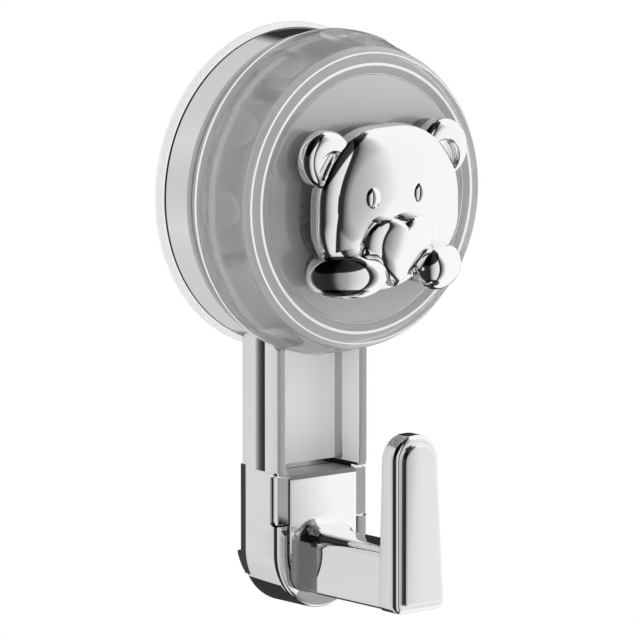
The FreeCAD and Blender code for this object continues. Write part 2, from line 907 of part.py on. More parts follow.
def make_bear_base():
    """Clear stand-off plate that carries the ornament on the disc."""
    body = new_body("bear_base")
    inset = size("base_inset")
    thickness = bear_back - disc_front
    head = head_outline(sketch_on(body, "head_outline", "XZ_Plane", disc_front), inset)
    pad(body, "head_plate", head, thickness)
    for side, name in ((-1, "left"), (1, "right")):
        ear_pad(body, name + "_ear_plate", side, disc_front, thickness, inset)
        sketch = sketch_on(body, name + "_paw_outline", "XZ_Plane", disc_front)
        circle(sketch, size("arm_ball_height") - inset, arm_ball_x * side,
               -size("arm_ball_z"))
        pad(body, name + "_paw_plate", sketch, thickness)
    return body


def heart_outline(sketch, inset):
    """Two round lobes over a point, drawn in all round by the inset."""
    lobe = size("heart_lobe") - inset
    middle = lobe * size("heart_spread")
    width = middle + lobe
    lobe_z = -(size("heart_top") + size("heart_lobe"))
    dip = root(lobe * lobe - middle * middle)
    tip_z = -size("heart_tip") + inset * 1.5
    return outline(sketch, [
        (ZERO, tip_z),
        (width, lobe_z, lobe),
        (ZERO, lobe_z + dip, lobe),
        (-width, lobe_z),
    ])


def make_bear_figure():
    """Chromed ornament in one piece: a bear's head with ears, two arms and the heart it holds."""
    body = new_body("bear_figure")
    thickness = size("ear_thickness")
    ear_front = bear_back + thickness
    bar = sketch_on(body, "bar_outline", "XZ_Plane", bear_back)
    outline(bar, [
        (-ear_x, ZERO),
        (ear_x, ZERO),
        (ear_x, size("ear_z")),
        (-ear_x, size("ear_z")),
    ])
    pad(body, "bar", bar, thickness / 3)
    edge = size("ear_round")
    rim = size("ear_radius")
    for side, name in ((-1, "left"), (1, "right")):
        revolve_at(body, name + "_ear", ear_x * side, size("ear_z"), [
            (ZERO, -bear_back),
            (ZERO, -ear_front),
            (rim - edge, -ear_front, -edge),
            (rim, -(ear_front - edge)),
            (rim, -bear_back),
        ])
    for side, name in ((-1, "left"), (1, "right")):
        dish = sketch_on(body, name + "_dish_outline", "XZ_Plane", ear_front)
        circle(dish, size("ear_dish_radius"), (ear_x - size("ear_dish_shift")) * side, size("ear_dish_z"))
        pocket(body, name + "_dish", dish, size("ear_dish_depth"))
    steps = ((0.0, 0.0), (0.55, 0.03), (0.76, 0.17), (0.90, 0.45), (1.0, 1.0))
    sections = []
    for step, (rise, draw_in) in enumerate(steps):
        section = sketch_on(body, "head_outline_%d" % step, "XZ_Plane",
                            bear_back + size("head_thickness") * rise)
        sections.append(head_outline(section, size("head_round") * draw_in))
    loft(body, "head", sections)
    ellipsoid(body, "face", size("face_width"), size("face_dome"), size("face_height"),
              ZERO, face_back, size("face_centre"))
    for side, name in ((-1, "left"), (1, "right")):
        ellipsoid(body, name + "_eye", size("eye_width"), size("eye_proud"), size("eye_height"),
                  size("eye_x") * side, face_back + size("face_dome") * 0.86, size("eye_z"))
    ellipsoid(body, "body", size("body_width"), size("body_thickness"), size("body_height"),
              ZERO, bear_back, -size("body_z"))
    for side, name in ((-1, "left"), (1, "right")):
        paw(body, name + "_paw", side, face_back - size("arm_ball_lift"))
    heart_front = bear_back + size("heart_front")
    rounding = size("heart_round")
    lean = SIZES["heart_lean"]
    rear = sketch_on(body, "heart_rear_outline", "XZ_Plane", bear_back + size("heart_back"), lean)
    middle = sketch_on(body, "heart_middle_outline", "XZ_Plane", heart_front - rounding, lean)
    loft(body, "heart", [heart_outline(rear, ZERO), heart_outline(middle, ZERO)])
    sections = []
    for step, (rise, draw_in) in enumerate(((0.0, 0.0), (0.5, 0.14), (0.86, 0.5), (1.0, 1.0))):
        section = sketch_on(body, "heart_outline_%d" % step, "XZ_Plane",
                            heart_front - rounding * (1.0 - rise), lean)
        sections.append(heart_outline(section, rounding * draw_in))
    loft(body, "heart_front", sections)
    trim = sketch_on(body, "back_outline", "XZ_Plane", bear_back)
    circle(trim, disc_radius)
    pocket(body, "flat_back", trim, bear_back)
    return body


def plate_outline(sketch, inset):
    """Tapered upright with a round top, seen from the front."""
    top = size("plate_top_half_width") - inset
    bottom = size("plate_bottom_half_width") - inset
    low = -plate_bottom + inset
    shoulder = -(plate_top + inset) - top
    corner = size("plate_corner")
    return outline(sketch, [
        (-bottom + corner, low),
        (bottom - corner, low, corner),
        (bottom, low + corner),
        (top, shoulder, top),
        (ZERO, shoulder + top, top),
        (-top, shoulder),
        (-bottom, low + corner, corner),
    ])


def plate_face_cut(body, name, proud):
    """Planes the front to a slight wedge, thicker at the foot."""
    sketch = sketch_on(body, name + "_outline", "YZ_Plane")
    top = -plate_top + 1.0
    low = -plate_bottom - 1.0
    ahead = -(size("plate_back") + size("plate_bottom_thickness") + proud + 3.0)
    outline(sketch, [
        (-(size("plate_back") + size("plate_bottom_thickness") + proud), low),
        (-(size("plate_back") + size("plate_top_thickness") + proud), top),
        (ahead, top),
        (ahead, low),
    ])
    return pocket(body, name, sketch, size("plate_bottom_half_width") * 2.2, both_ways=True)


def make_hook():
    """One chromed moulding: the block in the channel, the hook arm and its upright plate."""
    body = new_body("hook")
    half = rail_half - size("hook_side_clearance")
    block = sketch_on(body, "block_outline", "XZ_Plane", hook_block_back)
    outline(block, [
        (-half, arm_end_z, half),
        (ZERO, arm_end_z - half, half),
        (half, arm_end_z),
        (half, -hook_block_top),
        (-half, -hook_block_top),
    ])
    pad(body, "block", block, hook_block_front - hook_block_back)
    fillet(body, "block_front_edge", lambda p: near(p.y, -hook_block_front),
           size("hook_block_bevel") / 2)

    tab_back = notch_back + size("tab_clearance")
    tab_half = size("arm_half_width") - size("tab_recess")
    tab_top = -(notch_top + size("tab_clearance") * 2)
    tab_low = -(notch_top + size("notch_height") - size("tab_clearance"))
    tabs = sketch_on(body, "tab_outline", "XZ_Plane", tab_back)
    outline(tabs, [
        (-tab_half, tab_low),
        (tab_half, tab_low),
        (tab_half, tab_top),
        (-tab_half, tab_top),
    ])
    pad(body, "tabs", tabs, size("arm_front") - size("tab_clearance") - tab_back)

    flare_start = hook_block_front - size("hook_block_bevel") / 2
    flare_end = flare_start + size("hook_arm_flare")
    steps = ((0.0, 1.0), (0.12, 0.52), (0.3, 0.28), (0.6, 0.08), (1.0, 0.0))
    sections = []
    for step, (along, grow) in enumerate(steps):
        section = sketch_on(body, "root_outline_%d" % step, "XZ_Plane",
                            flare_start + size("hook_arm_flare") * along)
        sections.append(arm_section(section, size("hook_arm_root") * grow))
    loft(body, "arm_root", sections)
    arm = arm_section(sketch_on(body, "arm_outline", "XZ_Plane", flare_end), ZERO)
    pad(body, "arm", arm, size("plate_back") + 1.5 - flare_end)

    plate_length = size("plate_bottom_thickness") + 1.0
    inner = size("plate_back_edge")
    back = plate_outline(sketch_on(body, "plate_back_outline", "XZ_Plane", size("plate_back")),
                         inner)
    behind = plate_outline(sketch_on(body, "plate_mid_outline", "XZ_Plane",
                                     size("plate_back") + inner), ZERO)
    skin = loft(body, "plate_back", [back, behind])
    skin.Ruled = True
    doc.recompute()
    upright = plate_outline(sketch_on(body, "plate_outline", "XZ_Plane",
                                      size("plate_back") + inner), ZERO)
    pad(body, "plate", upright, plate_length - inner)
    plate_face_cut(body, "plate_face", ZERO)
    fillet(body, "plate_front_edge", lambda p: on_plate_face(p, 0.0), size("plate_edge"))
    panel = sketch_on(body, "panel_outline", "XZ_Plane", size("plate_back") + 2.0)
    plate_outline(panel, size("panel_inset"))
    pad(body, "panel", panel, plate_length + size("panel_proud"))
    plate_face_cut(body, "panel_face", size("panel_proud"))
    fillet(body, "panel_front_edge",
           lambda p: on_plate_face(p, SIZES["panel_proud"]), size("panel_edge"))
    return body


def arm_section(sketch, grow):
    """Cross-section of the hook arm, made wider and taller by the given amount."""
    wide = size("hook_arm_half_width")
    top = -hook_arm_top + grow
    low = -hook_arm_bottom
    crown = size("hook_arm_round") + grow
    foot = size("arm_edge") + grow
    flat = wide - size("arm_edge")
    wide = wide + grow
    return outline(sketch, [
        (-flat, low),
        (flat, low, foot),
        (wide, low + foot),
        (wide, top - crown, crown),
        (wide - crown, top),
        (-wide + crown, top, crown),
        (-wide, top - crown),
        (-wide, low + foot, foot),
    ])


def on_plate_face(point, proud):
    """True on the slanted front of the plate, or of its raised panel."""
    run = plate_bottom.value - plate_top.value + 2.0
    share = (point.z + plate_bottom.value + 1.0) / run
    thick = SIZES["plate_bottom_thickness"]
    thin = SIZES["plate_top_thickness"]
    face = SIZES["plate_back"] + proud + thick + (thin - thick) * share
    return abs(point.y + face) < 0.02


MAKERS = (
    make_suction_pad,
    make_pull_stud,
    make_bracket,
    make_wall_bumper,
    make_thrust_washer,
    make_knob_shell,
    make_knob_core,
    make_knob_nut,
    make_face_disc,
    make_bear_base,
    make_bear_figure,
    make_hook,
)

pieces = [make() for make in MAKERS]
doc.recompute()

for item in doc.Objects:
    if "Invalid" in item.State or "Error" in item.State:
        raise RuntimeError("%s is in state %s" % (item.Label, item.State))

os.makedirs("parts", exist_ok=True)
for piece in pieces:
    shape = piece.Shape
    if shape.isNull() or not shape.isValid():
        raise RuntimeError(piece.Label + " has no valid shape")
    print("%-14s solids %d  volume %9.1f mm3  faces %d" % (
        piece.Label, len(shape.Solids), shape.Volume, len(shape.Faces)))
    shape.exportStep("parts/%s.step" % piece.Label)
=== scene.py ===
import math

import bmesh
import bpy
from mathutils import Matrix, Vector


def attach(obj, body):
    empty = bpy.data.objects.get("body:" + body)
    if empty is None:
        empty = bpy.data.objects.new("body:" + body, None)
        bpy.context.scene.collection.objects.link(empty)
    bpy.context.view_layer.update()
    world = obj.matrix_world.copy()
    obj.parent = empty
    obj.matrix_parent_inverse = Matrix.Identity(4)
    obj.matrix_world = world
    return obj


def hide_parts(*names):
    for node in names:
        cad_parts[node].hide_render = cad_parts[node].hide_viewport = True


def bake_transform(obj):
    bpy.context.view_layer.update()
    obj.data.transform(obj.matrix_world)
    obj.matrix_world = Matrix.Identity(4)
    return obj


# Suction cup hook on a wall: its visible pieces, a plain studio and the photograph's camera.
#
# Sizes are in millimetres: x to the right, depth out from the wall, z up. A point is
# (x, depth, z) and becomes metres in the row frame when its mesh is made; only the studio and
# the camera are given in metres. Each piece has a section with its sizes, its outlines and one
# build function, and the last section calls these in order.

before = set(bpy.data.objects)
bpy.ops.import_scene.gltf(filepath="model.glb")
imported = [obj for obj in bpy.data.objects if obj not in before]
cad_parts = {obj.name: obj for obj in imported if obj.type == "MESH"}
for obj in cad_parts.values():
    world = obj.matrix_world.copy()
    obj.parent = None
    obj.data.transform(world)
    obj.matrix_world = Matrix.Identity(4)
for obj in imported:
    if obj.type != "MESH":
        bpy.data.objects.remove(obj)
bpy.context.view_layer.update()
scene = bpy.context.scene
MM = 0.001


# ---------------------------------------------------------------- mesh helpers
class Shell:
    """Collects the surfaces of one piece."""

    def __init__(self):
        self.verts = []
        self.faces = []

    def grid(self, rings, loop=False, caps=(False, False)):
        """Skins closed rings of equal length. loop joins the last to the first."""
        first = len(self.verts)
        count = len(rings[0])
        for ring in rings:
            self.verts.extend(ring)
        for i in range(len(rings) if loop else len(rings) - 1):
            a = first + i * count
            b = first + ((i + 1) % len(rings)) * count
            for j in range(count):
                k = (j + 1) % count
                self.faces.append((a + j, a + k, b + k, b + j))
        if caps[0]:
            self.faces.append(tuple(range(first, first + count)))
        if caps[1]:
            last = first + (len(rings) - 1) * count
            self.faces.append(tuple(range(last, last + count)))

    def stack(self, rings, caps=(True, True)):
        """Skins rings that lie one before the other, with closed ends."""
        self.grid(rings, caps=caps)

    def lathe(self, profile, segments, x=0.0, z=0.0, warp=None):
        """Turns a closed (radius, depth) profile round the line through x, z."""
        rings = []
        for s in range(segments):
            angle = 2 * math.pi * s / segments
            ring = []
            for radius, depth in profile:
                if warp:
                    radius, depth = warp(radius, depth, angle)
                ring.append((x + radius * math.sin(angle), depth, z + radius * math.cos(angle)))
            rings.append(ring)
        self.grid(rings, loop=True)


def rounded(points, steps, closed=True):
    """A polygon whose corners (x, y, radius) become arcs."""
    out = []
    count = len(points)
    for i, point in enumerate(points):
        radius = point[2] if len(point) > 2 else 0.0
        here = Vector(point[:2])
        if radius <= 0 or (not closed and i in (0, count - 1)):
            out.append(tuple(here))
            continue
        back = (Vector(points[i - 1][:2]) - here).normalized()
        ahead = (Vector(points[(i + 1) % count][:2]) - here).normalized()
        half = back.angle(ahead) / 2
        centre = here + (back + ahead).normalized() * (radius / math.sin(half))
        start = here + back * (radius / math.tan(half)) - centre
        end = here + ahead * (radius / math.tan(half)) - centre
        a0 = math.atan2(start.y, start.x)
        turn = (math.atan2(end.y, end.x) - a0 + math.pi) % (2 * math.pi) - math.pi
        for k in range(steps + 1):
            a = a0 + turn * k / steps
            out.append((centre.x + radius * math.cos(a), centre.y + radius * math.sin(a)))
    return out


def arc(cx, cy, radius, start, end, steps):
    """Points on an arc, angles in degrees from +x towards +y."""
    return [(cx + radius * math.cos(math.radians(start + (end - start) * k / steps)),
             cy + radius * math.sin(math.radians(start + (end - start) * k / steps)))
            for k in range(steps + 1)]


def sweep(start, radius, first, last, steps):
    """Profile points (inset, depth) on a round whose surface turns from first to last degrees."""
    a0 = math.radians(first)
    return [(start[0] + radius * (math.cos(a0) - math.cos(math.radians(a))),
             start[1] + radius * (math.sin(math.radians(a)) - math.sin(a0)))
            for a in (first + (last - first) * k / steps for k in range(1, steps + 1))]


def curve_in(start, end, steps=14):
    """An arc that leaves start straight ahead in depth and reaches end, both (x, depth)."""
    run, inset = end[1] - start[1], end[0] - start[0]
    radius = (run * run + inset * inset) / (2 * abs(inset))
    side = 1 if inset > 0 else -1
    reach = math.asin(run / radius)
    return [(start[0] + side * radius * (1 - math.cos(reach * k / steps)),
             start[1] + radius * math.sin(reach * k / steps)) for k in range(steps + 1)]


def resample(points, step):
    """Adds points along the straight runs of a closed outline."""
    out = []
    for i, (x, y) in enumerate(points):
        nx, ny = points[(i + 1) % len(points)]
        count = max(1, round(math.hypot(nx - x, ny - y) / step))
        out += [(x + (nx - x) * k / count, y + (ny - y) * k / count) for k in range(count)]
    return out


def quarter(steps, first=1):
    """Angles up to a quarter turn, in equal steps."""
    return [math.radians(90 * k / steps) for k in range(first, steps + 1)]


def stadium(half, z_top, z_end, steps=24):
    """Closed (x, z) outline: flat top, straight sides, half round end."""
    low = [(half * math.cos(a), z_end + half * math.sin(a))
           for a in (math.pi + math.pi * k / (2 * steps) for k in range(2 * steps + 1))]
    return [(-half, z_top)] + low + [(half, z_top)]


def make(name, shell, look, sharp=30.0):
    """A smooth mesh object from a shell; edges over sharp degrees stay crisp."""
    mesh = bpy.data.meshes.new(name)
    mesh.from_pydata([(x * MM, -d * MM, z * MM) for x, d, z in shell.verts], [], shell.faces)
    bm = bmesh.new()
    bm.from_mesh(mesh)
    bmesh.ops.remove_doubles(bm, verts=bm.verts, dist=2e-7)
    bmesh.ops.recalc_face_normals(bm, faces=bm.faces)
    for face in bm.faces:
        face.smooth = True
    bm.to_mesh(mesh)
    bm.free()
    mesh.set_sharp_from_angle(angle=math.radians(sharp))
    obj = bpy.data.objects.new(name, mesh)
    scene.collection.objects.link(obj)
    mesh.materials.append(look)
    return obj


def cut(obj, shell, sharp=30.0):
    """Takes a shell's volume out of a piece."""
    tool = make(obj.name + "_tool", shell, obj.data.materials[0])
    modifier = obj.modifiers.new("cut", "BOOLEAN")
    modifier.operation = "DIFFERENCE"
    modifier.solver = "EXACT"
    modifier.object = tool
    done = bpy.data.meshes.new_from_object(
        obj.evaluated_get(bpy.context.evaluated_depsgraph_get()))
    obj.modifiers.clear()
    obj.data = done
    bpy.data.objects.remove(tool)
    done.set_sharp_from_angle(angle=math.radians(sharp))
    return obj


def join(first, *others):
    """Puts the meshes of other pieces into the first one."""
    for other in others:
        bm = bmesh.new()
        bm.from_mesh(first.data)
        bm.from_mesh(other.data)
        bm.to_mesh(first.data)
        bm.free()
        bpy.data.objects.remove(other)
    return first


def paint(obj, looks, choose):
    """Adds looks to a piece. choose(x, depth, z, normal) names a face's look, or None for the
    piece's own."""
    for look in looks:
        obj.data.materials.append(look)
    for face in obj.data.polygons:
        x, y, z = (value / MM for value in face.center)
        look = choose(x, -y, z, face.normal)
        if look:
            face.material_index = 1 + looks.index(look)


def settle(obj, body, slot, *nodes):
    """Ties a finished piece to its body and hides the CAD nodes it stands for. slot is not used."""
    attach(obj, body)
    if nodes:
        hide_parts(*nodes)


# ---------------------------------------------------------------- materials
def material(name, color, rough=(0.03, 0.06), fine=900.0, bump=0.02, see_through=0.0,
             open_share=0.0, **sockets):
    """A node material whose roughness and surface carry a very fine, faint unevenness."""
    mat = bpy.data.materials.new(name)
    mat.use_nodes = True
    nodes, links = mat.node_tree.nodes, mat.node_tree.links
    shader = nodes["Principled BSDF"]
    shader.inputs["Base Color"].default_value = (*color, 1.0)
    for key, value in sockets.items():
        shader.inputs[key.replace("_", " ")].default_value = value
    where = nodes.new("ShaderNodeTexCoord")
    noise = nodes.new("ShaderNodeTexNoise")
    noise.inputs["Scale"].default_value = fine
    noise.inputs["Detail"].default_value = 3.0
    links.new(where.outputs["Object"], noise.inputs["Vector"])
    spread = nodes.new("ShaderNodeMapRange")
    spread.inputs["To Min"].default_value = rough[0]
    spread.inputs["To Max"].default_value = rough[1]
    links.new(noise.outputs["Fac"], spread.inputs["Value"])
    links.new(spread.outputs["Result"], shader.inputs["Roughness"])
    if bump:
        relief = nodes.new("ShaderNodeBump")
        relief.inputs["Strength"].default_value = bump
        relief.inputs["Distance"].default_value = 0.02 * MM
        links.new(noise.outputs["Fac"], relief.inputs["Height"])
        links.new(relief.outputs["Normal"], shader.inputs["Normal"])
    if see_through:
        open_up(mat, see_through, open_share)
    return mat


def open_up(mat, see_through, open_share):
    """Lets shadow and diffuse rays, and a share of all others, straight through a clear piece,
    so that light reaches what lies behind it."""
    nodes, links = mat.node_tree.nodes, mat.node_tree.links
    path = nodes.new("ShaderNodeLightPath")
    either = nodes.new("ShaderNodeMath")
    either.operation = "MAXIMUM"
    links.new(path.outputs["Is Shadow Ray"], either.inputs[0])
    links.new(path.outputs["Is Diffuse Ray"], either.inputs[1])
    share = nodes.new("ShaderNodeMath")
    share.operation = "MAXIMUM"
    share.inputs[1].default_value = open_share
    links.new(either.outputs[0], share.inputs[0])
    straight = nodes.new("ShaderNodeBsdfTransparent")
    straight.inputs["Color"].default_value = (see_through, see_through, see_through, 1.0)
    mixed = nodes.new("ShaderNodeMixShader")
    links.new(share.outputs[0], mixed.inputs[0])
    links.new(nodes["Principled BSDF"].outputs[0], mixed.inputs[1])
    links.new(straight.outputs[0], mixed.inputs[2])
    links.new(mixed.outputs[0], nodes["Material Output"].inputs["Surface"])


def set_stops(color_ramp, stops):
    """Gives a colour ramp grey stops, each (position, level)."""
    while len(color_ramp.elements) < len(stops):
        color_ramp.elements.new(0.5)
    for element, (position, level) in zip(color_ramp.elements, stops):
        element.position = position
        element.color = (level, level, level, 1.0)


def banded(mat, axis, bands):
    """Grades a piece's grey along axis 0, 1 or 2 of the row frame, whose y is minus the depth.
    bands are (millimetres, level)."""
    nodes, links = mat.node_tree.nodes, mat.node_tree.links
    where = nodes.new("ShaderNodeTexCoord")
    split = nodes.new("ShaderNodeSeparateXYZ")
    links.new(where.outputs["Object"], split.inputs[0])
    low, high = bands[0][0], bands[-1][0]
    spread = nodes.new("ShaderNodeMapRange")
    spread.inputs["From Min"].default_value = low * MM
    spread.inputs["From Max"].default_value = high * MM
    links.new(split.outputs[axis], spread.inputs["Value"])
    greys = nodes.new("ShaderNodeValToRGB")
    set_stops(greys.color_ramp, [((place - low) / (high - low), level) for place, level in bands])
    links.new(spread.outputs[0], greys.inputs[0])
    links.new(greys.outputs[0], nodes["Principled BSDF"].inputs["Base Color"])
    return mat


def grey(name, level, **values):
    """A material of one grey level."""
    return material(name, (level, level, level), **values)


def plating(name, level, metallic, rough):
    """Chrome, or a painted reflection: a tone for a stretch of it that mirrors something the plain
    studio lacks.
    """
    return grey(name, level, Metallic=metallic, rough=rough, fine=400.0, bump=0.0)


chrome = plating("chrome", 0.93, 1.0, (0.015, 0.035))
# painted reflection and painted shade: dim grey chrome on the fronts of the fins and tabs, the
# front edge under the hook and a corner of the hook's root
chrome_painted_grey_reflection = plating("chrome_painted_grey_reflection", 0.38, 1.0, (0.1, 0.16))
# painted reflection: matte white in place of mirrored chrome, on the tray's front ring and the
# walls inside the channel
chrome_painted_white_reflection = plating("chrome_painted_white_reflection", 1.0, 0.0, (0.34, 0.4))
# painted reflection: a darker, blurred chrome on the shoulder of the channel's right inner wall
chrome_painted_soft_reflection = plating("chrome_painted_soft_reflection", 0.50, 1.0, (0.26, 0.28))
# painted shade: a dark, half-metallic tone on the hook arm's root and the top of the block
chrome_painted_root_shade = plating("chrome_painted_root_shade", 0.24, 0.4, (0.3, 0.36))
# painted reflection: grey on the tray's front rounding, beside the knob
chrome_painted_grey_rounding = plating("chrome_painted_grey_rounding", 0.45, 0.1, (0.3, 0.36))
# painted reflection: a dimmer chrome on the raised panel of the hook's plate
chrome_panel_painted_reflection = plating("chrome_panel_painted_reflection", 0.79, 1.0, (0.03, 0.06))
# painted shadow: near black on the tray's rear rim by the pad and on the wall beside the block
chrome_painted_shadow = plating("chrome_painted_shadow", 0.025, 0.8, (0.2, 0.3))
clear = grey("clear_acrylic", 0.98, Transmission_Weight=1.0, IOR=1.46, rough=(0.0, 0.015),
             bump=0.0, see_through=0.95, open_share=0.35)
soft_clear = grey("soft_clear_vinyl", 0.96, Transmission_Weight=0.95, IOR=1.42,
                  rough=(0.12, 0.2), fine=500.0, bump=0.05, see_through=0.97, open_share=0.8)
clear_rim = grey("clear_rim", 0.60, Transmission_Weight=0.55, IOR=1.5, rough=(0.05, 0.09),
                 bump=0.0, see_through=0.9)
clear_grip = grey("clear_grip", 0.72, Transmission_Weight=0.86, IOR=1.46, rough=(0.1, 0.16),
                  bump=0.0, see_through=0.9)
# painted highlights: pale, nearly opaque lines on the cap's front and rear edges
clear_painted_highlight = grey("clear_painted_highlight", 0.97, Transmission_Weight=0.1, IOR=1.46, rough=(0.06, 0.1),
                  bump=0.0)
# the core's grey with painted light: a painted highlight band between depths 19.2 and 20.6, and
# painted shading darkest near depth 27
core_grey_painted_band = banded(grey("grey_core_painted_band", 0.36, rough=(0.32, 0.4), fine=1500.0), 1, [
    (-29.4, 0.42), (-27.0, 0.34), (-21.2, 0.36), (-20.6, 0.54), (-19.2, 0.54), (-18.8, 0.36),
    (-14.6, 0.42)])
# the disc's grey with painted shading: darkest just above the middle, lightest towards the top and
# a little lighter towards the bottom
disc_grey = banded(grey("disc_grey", 0.42, rough=(0.14, 0.2), Metallic=0.35), 2, [
    (-31.0, 0.46), (-12.0, 0.39), (2.0, 0.35), (12.0, 0.44), (22.0, 0.55), (31.0, 0.58)])
rubber = grey("bumper_rubber", 0.035, rough=(0.55, 0.75), fine=2500.0, bump=0.3)
steel = material("zinc_steel", (0.6, 0.6, 0.61), Metallic=1.0, rough=(0.25, 0.4))
brass = material("turned_brass", (0.72, 0.53, 0.25), Metallic=1.0, rough=(0.2, 0.35))
nylon = material("white_nylon", (0.8, 0.8, 0.79), rough=(0.4, 0.5))

CAD_LOOKS = {"pull_stud": steel, "knob_nut": brass, "thrust_washer": nylon,
             "wall_bumper": rubber, "bear_base": clear}


def dress_cad():
    """Gives the CAD pieces that stay visible their materials."""
    for node, look in CAD_LOOKS.items():
        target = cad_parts[node].data
        target.materials.clear()
        target.materials.append(look)


# ---------------------------------------------------------------- bracket
BASE_R, BASE_FRONT_R, BASE_BACK, BASE_FRONT = 40.0, 39.6, 2.3, 12.0
BASE_WALL, WEB_BACK = 2.2, 9.6
EVEN, EVEN_INSET = 0.9, 0.037  # where the two support rings lie
BORE_R, BOSS_R, BOSS_RISE = 3.06, 9.0, 1.0
RIB_COUNT, RIB_HALF, RIB_REACH, RIB_DEPTHS = 12, 0.8, (11.0, 38.5), (6.6, 10.5)

HALF, ARM_BACK, ARM_FRONT, END_Z = 14.95, 1.4, 15.8, -91.2
RAIL, FIN_OUT, FIN_IN, FIN_ROUND = 11.4, 14.38, 11.95, 0.25
OUTER_SHOULDER, INNER_SHOULDER = (6.8, 10.5), (5.4, 8.8)
CHANNEL_FLOOR, CHANNEL_ROUND = 3.9, 1.4
ARM_TOP_IN_BASE, ARM_TOP_IN_FRONT = -36.0, -39.35
RELIEF_TOP, RELIEF_END, RELIEF = -69.6, -70.4, 3.4
RELIEF_REACH = (-98.0, -60.0)
NOTCH_BACK, NOTCH_LOW, NOTCH_TOP, NOTCH_ROUND = 13.2, -84.1, -71.1, 1.2
SLAB_FRONT, SLAB_OVERLAP = 5.9, 0.3
PAST = 20.0  # cutters reach this far to both sides


def add_tray(shell):
    """The round tray with its boss, and the ribs in its hollow back. Two support rings, EVEN
    from the ends of its slanted side, keep the shading there even."""
    inner = BASE_R - BASE_WALL
    shell.lathe(rounded([
        (BORE_R, BASE_FRONT + BOSS_RISE), (BOSS_R, BASE_FRONT + BOSS_RISE, 0.3),
        (BOSS_R, BASE_FRONT), (BASE_FRONT_R, BASE_FRONT, 0.8),
        (BASE_FRONT_R + EVEN_INSET, BASE_FRONT - EVEN), (BASE_R - EVEN_INSET, BASE_BACK + EVEN),
        (BASE_R, BASE_BACK, 0.25), (inner, BASE_BACK, 0.25), (inner, WEB_BACK, 0.6),
        (BORE_R, WEB_BACK)], 10), 384)
    near, far = RIB_REACH
    for rib in range(RIB_COUNT):
        angle = math.radians(360 * rib / RIB_COUNT)
        c, s = math.cos(angle), math.sin(angle)
        corners = [(c * side * RIB_HALF + s * r, -s * side * RIB_HALF + c * r)
                   for side, r in ((-1, near), (1, near), (1, far), (-1, far))]
        shell.stack([[(x, d, z) for x, z in corners] for d in RIB_DEPTHS])


def channel_section(back, edge):
    """Closed (x, depth) section of the channel, with its back at a depth and its corners there
    rounded: up the right side, over the fin's front, down to the floor, and mirrored."""
    half = [(0.0, back)]
    half += rounded([(0, back), (HALF, back, edge), (HALF, OUTER_SHOULDER[0])], 10,
                    closed=False)[1:-1]
    half += curve_in((HALF, OUTER_SHOULDER[0]), (FIN_OUT, OUTER_SHOULDER[1]))
    half += rounded([(FIN_OUT, OUTER_SHOULDER[1]), (FIN_OUT, ARM_FRONT, FIN_ROUND),
                     (FIN_IN, ARM_FRONT, FIN_ROUND), (FIN_IN, INNER_SHOULDER[1])], 9,
                    closed=False)[1:-1]
    half += reversed(curve_in((RAIL, INNER_SHOULDER[0]), (FIN_IN, INNER_SHOULDER[1])))
    half += rounded([(RAIL, INNER_SHOULDER[0]), (RAIL, CHANNEL_FLOOR, CHANNEL_ROUND),
                     (0, CHANNEL_FLOOR)], 10, closed=False)[1:]
    return half + [(-x, d) for x, d in reversed(half) if abs(x) > 1e-6]


def arm_top(depth):
    """The channel runs into the tray, and stops short of the knob in front of it."""
    return ARM_TOP_IN_BASE if depth < BASE_FRONT + 0.05 else ARM_TOP_IN_FRONT


def end_path(steps=28):
    """Points and inward normals down the left side, round the end and up the right side."""
    path = [((-HALF, RELIEF_END), (1, 0)), ((-HALF, END_Z), (1, 0))]
    for k in range(1, 2 * steps):
        a = math.pi + math.pi * k / (2 * steps)
        path.append(((HALF * math.cos(a), END_Z + HALF * math.sin(a)),
                     (-math.cos(a), -math.sin(a))))
    return path + [((HALF, END_Z), (-1, 0)), ((HALF, RELIEF_END), (-1, 0))]


def lower_end():
    """The thick wall round the channel's lower end, notched on both sides, and its floor."""
    profile = rounded([
        (0.0, ARM_BACK, 0.9), (0.0, ARM_FRONT, 1.2), (HALF - RAIL, ARM_FRONT, FIN_ROUND),
        (HALF - RAIL, ARM_BACK)], 10)
    wall_shell = Shell()
    wall_shell.stack([[(p[0] + n[0] * i, d, p[1] + n[1] * i) for i, d in profile]
                      for p, n in end_path()])
    wall = make("lower_wall", wall_shell, chrome, sharp=12)
    in_front = ARM_FRONT + 2.2
    notch = rounded([(NOTCH_BACK, NOTCH_LOW, NOTCH_ROUND), (in_front, NOTCH_LOW),
                     (in_front, NOTCH_TOP), (NOTCH_BACK, NOTCH_TOP)], 6)
    notch_cutter = Shell()
    notch_cutter.stack([[(x, d, z) for d, z in notch] for x in (-PAST, PAST)])
    cut(wall, notch_cutter, sharp=12)
    low, high = RELIEF_REACH
    behind_all = -1.0
    relief_cutter = Shell()
    relief_cutter.stack([[(x, d, z) for x, z in ((-PAST, low), (PAST, low), (PAST, high),
                                                 (-PAST, high))] for d in (behind_all, RELIEF)])
    cut(wall, relief_cutter, sharp=12)
    slab_shell = Shell()
    slab_shell.stack([[(x, d, z) for x, z in stadium(RAIL + SLAB_OVERLAP, RELIEF_END, END_Z)]
                      for d in (ARM_BACK, SLAB_FRONT)])
    return wall, cut(make("floor_slab", slab_shell, chrome), relief_cutter)


